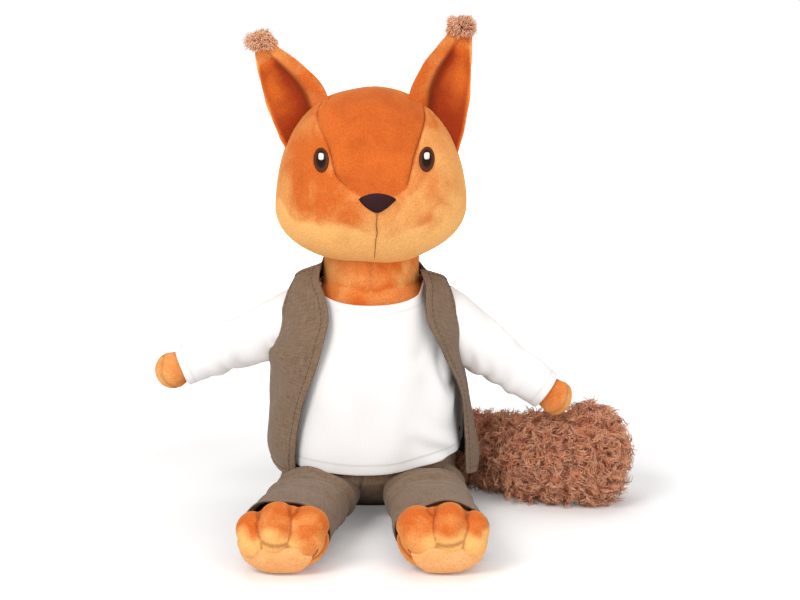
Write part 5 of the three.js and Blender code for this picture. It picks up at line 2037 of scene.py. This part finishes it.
def set_mark(made: Piece, name: str, values: Array) -> None:
    """Stores a number for each point of a mesh."""
    layer = made.data.attributes.new(name, "FLOAT", "POINT")
    layer.data.foreach_set("value", np.ascontiguousarray(values, np.float32))


def join_parts(name: str, parts: list, voxel: float, smoothing: int) -> Piece:
    """Joins overlapping closed forms into one soft skin by remeshing and smoothing them.

    Args:
        name: The joined object's name.
        parts: The forms, which are used up.
        voxel: Size of the remesh.
        smoothing: How many times it is smoothed.

    Returns:
        The joined object.
    """
    with bpy.context.temp_override(active_object=parts[0], selected_editable_objects=parts):
        bpy.ops.object.join()
    joined = parts[0]
    joined.name = name
    joined.data.name = name
    remesh = joined.modifiers.new("remesh", "REMESH")
    remesh.mode = "VOXEL"
    remesh.voxel_size = voxel
    smooth = joined.modifiers.new("smooth", "SMOOTH")
    smooth.factor = 0.5
    smooth.iterations = smoothing
    bpy.context.view_layer.update()
    done = bpy.data.meshes.new_from_object(joined.evaluated_get(bpy.context.evaluated_depsgraph_get()))
    joined.modifiers.clear()
    joined.data = done
    for layer in list(done.attributes):
        if layer.name in ("shade", "seam", "pattern"):
            done.attributes.remove(layer)
    done.polygons.foreach_set("use_smooth", np.ones(len(done.polygons), bool))
    return joined


# Tail


@dataclass
class Tail:
    """The curly fur tail, which leaves the back and lies on the floor beside the left hip."""

    finishes: Finishes
    path: Array = in_mm(
        (0.0, 36.0, 16.0), (12.0, 54.0, 16.0), (42.0, 55.0, 17.0), (69.0, 32.0, 19.5), (88.0, 14.0, 22.5),
        (116.0, 9.0, 25.5))
    path_points: int = 800
    # Half width, half height and distance along it; the last station lies at its end.
    stations: Array = in_mm((13.0, 13.0, 0.0), (16.5, 16.5, 36.0), (20.0, 20.0, 76.0), (26.0, 26.0, 0.0))
    root_cap: float = 8 * MM
    tip_cap: float = 17.5 * MM
    rows: int = 90
    cap_rows: int = 22
    sides: int = 96
    # The ground lies this far under the fur's outside.
    pile: float = 3.9 * MM
    uneven: Uneven = Uneven(9 * MM, 1.5 * MM, 101)
    blend_start: tuple = (4 * MM, 38 * MM, 16 * MM)
    blend_end: tuple = (16 * MM, 50 * MM, 16 * MM)
    # The curls: pieces, locks of a piece, hairs of a lock, and the share of a hair's radius at each point.
    pieces: int = 8
    locks: int = 560
    hairs: int = 5
    taper: tuple = (0.78, 1.0, 1.0, 0.97, 0.9, 0.76, 0.5, 0.0)
    # Ranges in millimetres of a lock's length, its coil's radius, its height and its hairs' radius.
    lock_lengths: tuple = (5.0, 8.5)
    coils: tuple = (0.8, 1.7)
    heights: tuple = (2.2, 4.0)
    hair_radii: tuple = (0.17, 0.28)
    # Half turns of a coil, its depth against its width, and how its hairs stray.
    windings: tuple = (1.6, 3.0)
    coil_depth: float = 0.6
    stray: float = 0.45 * MM
    heading_spread: float = 1.2

    def curve(self) -> tuple[Array, Array]:
        """Gives the middle line."""
        curve = spline(self.path, np.linspace(0, 1, self.path_points))
        return curve, np.concatenate([[0.0], np.cumsum(np.linalg.norm(np.diff(curve, axis=0), axis=1))])

    def rings(self) -> Array:
        """Lays rings with rounded ends along the middle line.

        Returns:
            Points, rings by sides by 3.
        """
        curve, reach = self.curve()
        stations = self.stations.copy()
        stations[-1, 2] = reach[-1]
        sizes = capped(stations, self.root_cap, self.tip_cap, self.rows, self.cap_rows)
        distance = sizes[:, 2]
        slopes = unit(np.gradient(curve, axis=0))
        middle = np.stack([np.interp(distance, reach, curve[:, axis]) for axis in range(3)], axis=-1)
        tangent = unit(np.stack([np.interp(distance, reach, slopes[:, axis]) for axis in range(3)], axis=-1))
        middle = middle + tangent * (distance - np.clip(distance, 0, reach[-1]))[:, None]
        side = unit(np.cross(np.array([0.0, 0.0, 1.0]), tangent))
        up = np.cross(tangent, side)
        turn = np.arange(self.sides) / self.sides * 2 * math.pi
        return (middle[:, None] + (sizes[:, :1] * np.cos(turn))[..., None] * side[:, None]
                + (sizes[:, 1:2] * np.sin(turn))[..., None] * up[:, None])

    def build(self) -> None:
        """Makes the fur's ground and its curls."""
        rings = self.rings()
        rings = rings + grid_normals(rings, True) * (self.uneven.at(rings) - self.pile)[..., None]
        rings[..., 2] = np.maximum(rings[..., 2], 0.1 * MM)
        marks = {"tone": np.full(rings.shape[:2], 0.15), "hue": 0.5 + 0.4 * lumps(rings, 9 * MM, 103)}
        ground = skin("tail_skin", rings, marks)
        dress(ground, self.finishes.curls)
        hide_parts("tail", "tail_filling")
        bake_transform(ground, "torso", "tail", start=self.blend_start, end=self.blend_end)
        for number in range(self.pieces):
            locks = self.curls(f"tail_curls_{number + 1}", rings, 200 + number)
            dress(locks, self.finishes.curls)
            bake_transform(locks, "torso", "tail", start=self.blend_start, end=self.blend_end)

    def curls(self, name: str, ground: Array, seed: int) -> Piece:
        """Makes locks that curl over the tail like crimped wool.

        Each lock starts in the ground, rises a little, and winds round a line that lies on the fur. Its hairs
        follow it side by side and part a little towards their tips.

        Args:
            name: The object's name.
            ground: The ground's rings.
            seed: Seed of their places.

        Returns:
            The locks.
        """
        locks, hairs = self.locks, self.hairs
        rng = np.random.default_rng(seed)
        grid = np.concatenate([ground, ground[:, :1]], axis=1)
        normals = grid_normals(ground, True)
        normals = np.concatenate([normals, normals[:, :1]], axis=1)
        down, along = np.diff(grid, axis=0)[:, :-1], np.diff(grid, axis=1)[:-1]
        areas = np.cumsum(np.linalg.norm(np.cross(down, along), axis=2).ravel())
        cell = np.searchsorted(areas, rng.uniform(0, 1, locks) * areas[-1])
        row, column = np.divmod(np.minimum(cell, len(areas) - 1), grid.shape[1] - 1)
        flow = unit(down[row, column])
        row, column = row + rng.uniform(0, 1, locks), column + rng.uniform(0, 1, locks)
        normal = unit(on_grid(normals, row, column))
        root = on_grid(grid, row, column) - normal * 0.5 * MM
        around = np.cross(flow, normal)
        heading = rng.normal(0.0, self.heading_spread, (locks, 1))
        lay = flow * np.cos(heading) + around * np.sin(heading)
        across = np.cross(normal, lay)
        count, points = locks * hairs, len(self.taper)
        share = np.linspace(0, 1, points)[None, :, None]
        lock = (locks, 1, 1)
        one = [rng.uniform(*self.lock_lengths, lock) * MM,
               rng.uniform(*self.windings, lock) * math.pi * rng.choice([-1, 1], lock),
               rng.uniform(*self.coils, lock) * MM, rng.uniform(0, 6.28, lock),
               rng.uniform(*self.heights, lock) * MM]
        length, wind, coil, start, tall = (np.repeat(values, hairs, axis=0) for values in one)
        root, lay, normal, across = (
            np.repeat(values, hairs, axis=0)[:, None] for values in (root, lay, normal, across))
        length = length * rng.uniform(0.75, 1.15, (count, 1, 1))
        start = start + rng.normal(0, 0.3, (count, 1, 1))
        stray = rng.normal(0, self.stray, (count, 1, 3)) * (0.8 + 1.1 * share)
        rise = np.sin(np.minimum(share * 1.5, 1) * math.pi / 2) * tall
        line = (root + lay * length * share + normal * rise + stray
                + normal * coil * (np.sin(share * wind + start) - np.sin(start)) * self.coil_depth
                + across * coil * (np.cos(share * wind + start) - np.cos(start)))
        line[..., 2] = np.maximum(line[..., 2], 0.4 * MM)
        thick = np.array(self.taper) * rng.uniform(*self.hair_radii, (count, 1)) * MM
        tone = np.broadcast_to(0.1 + share[..., 0] * 0.8, (count, points))
        hue = np.broadcast_to(np.repeat(rng.uniform(0, 1, (locks, 1)), hairs, axis=0), (count, points))
        return strands(name, line, thick, 3, {"tone": tone, "hue": hue})


# Stage


@dataclass(frozen=True)
class Lamp:
    """A square soft light: its name, place, power in watts and side."""

    name: str
    place: tuple
    power: float
    size: float


@dataclass
class Studio:
    """The pale floor, the lights and the camera of the photograph."""

    floor_half: float = 3.0
    paper: tuple = (0.9, 0.9, 0.9, 1)
    white: tuple = (1, 1, 1, 1)
    # To the camera the floor glows white: least at the doll, more from here, and fully from there.
    glow_from: float = 0.16
    glow_full: float = 0.5
    glow_least: float = 0.12
    world_light: float = 0.45
    lamps: tuple = (
        Lamp("key", (-0.9, -1.3, 1.3), 19.5, 0.8),
        Lamp("fill", (1.0, -1.3, 0.8), 10.0, 1.2),
        Lamp("top", (0.0, 0.3, 1.7), 8.5, 1.4))
    target: tuple = (0.0, 0.0, 0.1)
    # The camera stands a metre in front and looks 11 degrees down.
    camera_place: tuple = (14.6 * MM, -1.0, 303.4 * MM)
    camera_tilt: float = 79
    lens: float = 90
    sensor: float = 36
    clip_start: float = 0.01

    def build(self) -> None:
        """Makes floor, world, lights and camera."""
        self.build_floor()
        self.build_world()
        for lamp in self.lamps:
            self.add_lamp(lamp)
        self.build_camera()
        bpy.context.scene.view_settings.view_transform = "Standard"

    def build_floor(self) -> None:
        """Makes the floor of white paper, which catches the doll's soft shadow."""
        half = self.floor_half
        mesh = bpy.data.meshes.new("floor")
        corners = [(-half, -half, 0), (half, -half, 0), (half, half, 0), (-half, half, 0)]
        mesh.from_pydata(corners, [], [(0, 1, 2, 3)])
        floor = bpy.data.objects.new("floor", mesh)
        bpy.context.scene.collection.objects.link(floor)
        material, tree = new_material("white_paper_sweep")
        paper = add_node(tree, "ShaderNodeBsdfDiffuse", {"Color": self.paper})
        place = add_node(tree, "ShaderNodeTexCoord").outputs["Object"]
        away = add_node(tree, "ShaderNodeVectorMath", {0: place}, operation="LENGTH").outputs["Value"]
        glow = add_node(tree, "ShaderNodeMapRange", {
            0: away, 1: self.glow_from, 2: self.glow_full, 3: self.glow_least, 4: 1.0}).outputs[0]
        rays = add_node(tree, "ShaderNodeLightPath").outputs["Is Camera Ray"]
        seen = add_node(tree, "ShaderNodeMath", {0: glow, 1: rays}, operation="MULTIPLY").outputs[0]
        light = add_node(tree, "ShaderNodeEmission", {"Color": self.white, "Strength": seen})
        both = add_node(tree, "ShaderNodeAddShader", {0: paper.outputs[0], 1: light.outputs[0]})
        add_node(tree, "ShaderNodeOutputMaterial", {"Surface": both.outputs[0]})
        mesh.materials.append(material)

    def build_world(self) -> None:
        """Makes a white surround that lights the doll softly and looks white behind it."""
        world = bpy.data.worlds.new("studio")
        world.use_nodes = True
        tree = world.node_tree
        tree.nodes.clear()
        rays = add_node(tree, "ShaderNodeLightPath")
        light = add_node(tree, "ShaderNodeBackground", {"Color": self.white, "Strength": self.world_light})
        seen = add_node(tree, "ShaderNodeBackground", {"Color": self.white, "Strength": 1.0})
        mixed = add_node(tree, "ShaderNodeMixShader", {
            0: rays.outputs["Is Camera Ray"], 1: light.outputs[0], 2: seen.outputs[0]})
        add_node(tree, "ShaderNodeOutputWorld", {"Surface": mixed.outputs[0]})
        bpy.context.scene.world = world

    def add_lamp(self, lamp: Lamp) -> None:
        """Adds a light that faces the doll.

        Args:
            lamp: The light's numbers.
        """
        data = bpy.data.lights.new(lamp.name, "AREA")
        data.energy = lamp.power
        data.size = lamp.size
        light = bpy.data.objects.new(lamp.name, data)
        bpy.context.scene.collection.objects.link(light)
        light.location = lamp.place
        away = np.array(lamp.place) - np.array(self.target)
        level = math.hypot(away[0], away[1])
        light.rotation_euler = (math.atan2(level, away[2]), 0, math.atan2(away[0], -away[1]))

    def build_camera(self) -> None:
        """Makes the camera of the photograph."""
        camera = bpy.data.objects.new("camera", bpy.data.cameras.new("camera"))
        bpy.context.scene.collection.objects.link(camera)
        camera.location = self.camera_place
        camera.rotation_euler = (math.radians(self.camera_tilt), 0, 0)
        camera.data.lens = self.lens
        camera.data.sensor_width = self.sensor
        camera.data.clip_start = self.clip_start
        bpy.context.scene.camera = camera


def main() -> None:
    """Builds the doll piece by piece."""
    logging.basicConfig(level=logging.INFO, format="%(message)s")
    finishes = Finishes()
    Studio().build()
    Trunk(finishes).build()
    Head(finishes).build()
    Ear(Side.RIGHT, 29.0, 42.4 * MM, finishes).build()
    Ear(Side.LEFT, 15.4, 46.0 * MM, finishes).build()
    Shorts(finishes).build()
    Shirt(finishes).build()
    Vest(finishes).build()
    Arm(Side.RIGHT, 22.2, finishes).build()
    Arm(Side.LEFT, 34.8, finishes).build()
    Leg(Side.RIGHT, -40 * MM, finishes).build()
    Leg(Side.LEFT, 34.5 * MM, finishes).build()
    Tail(finishes).build()


if __name__ == "__main__":
    main()
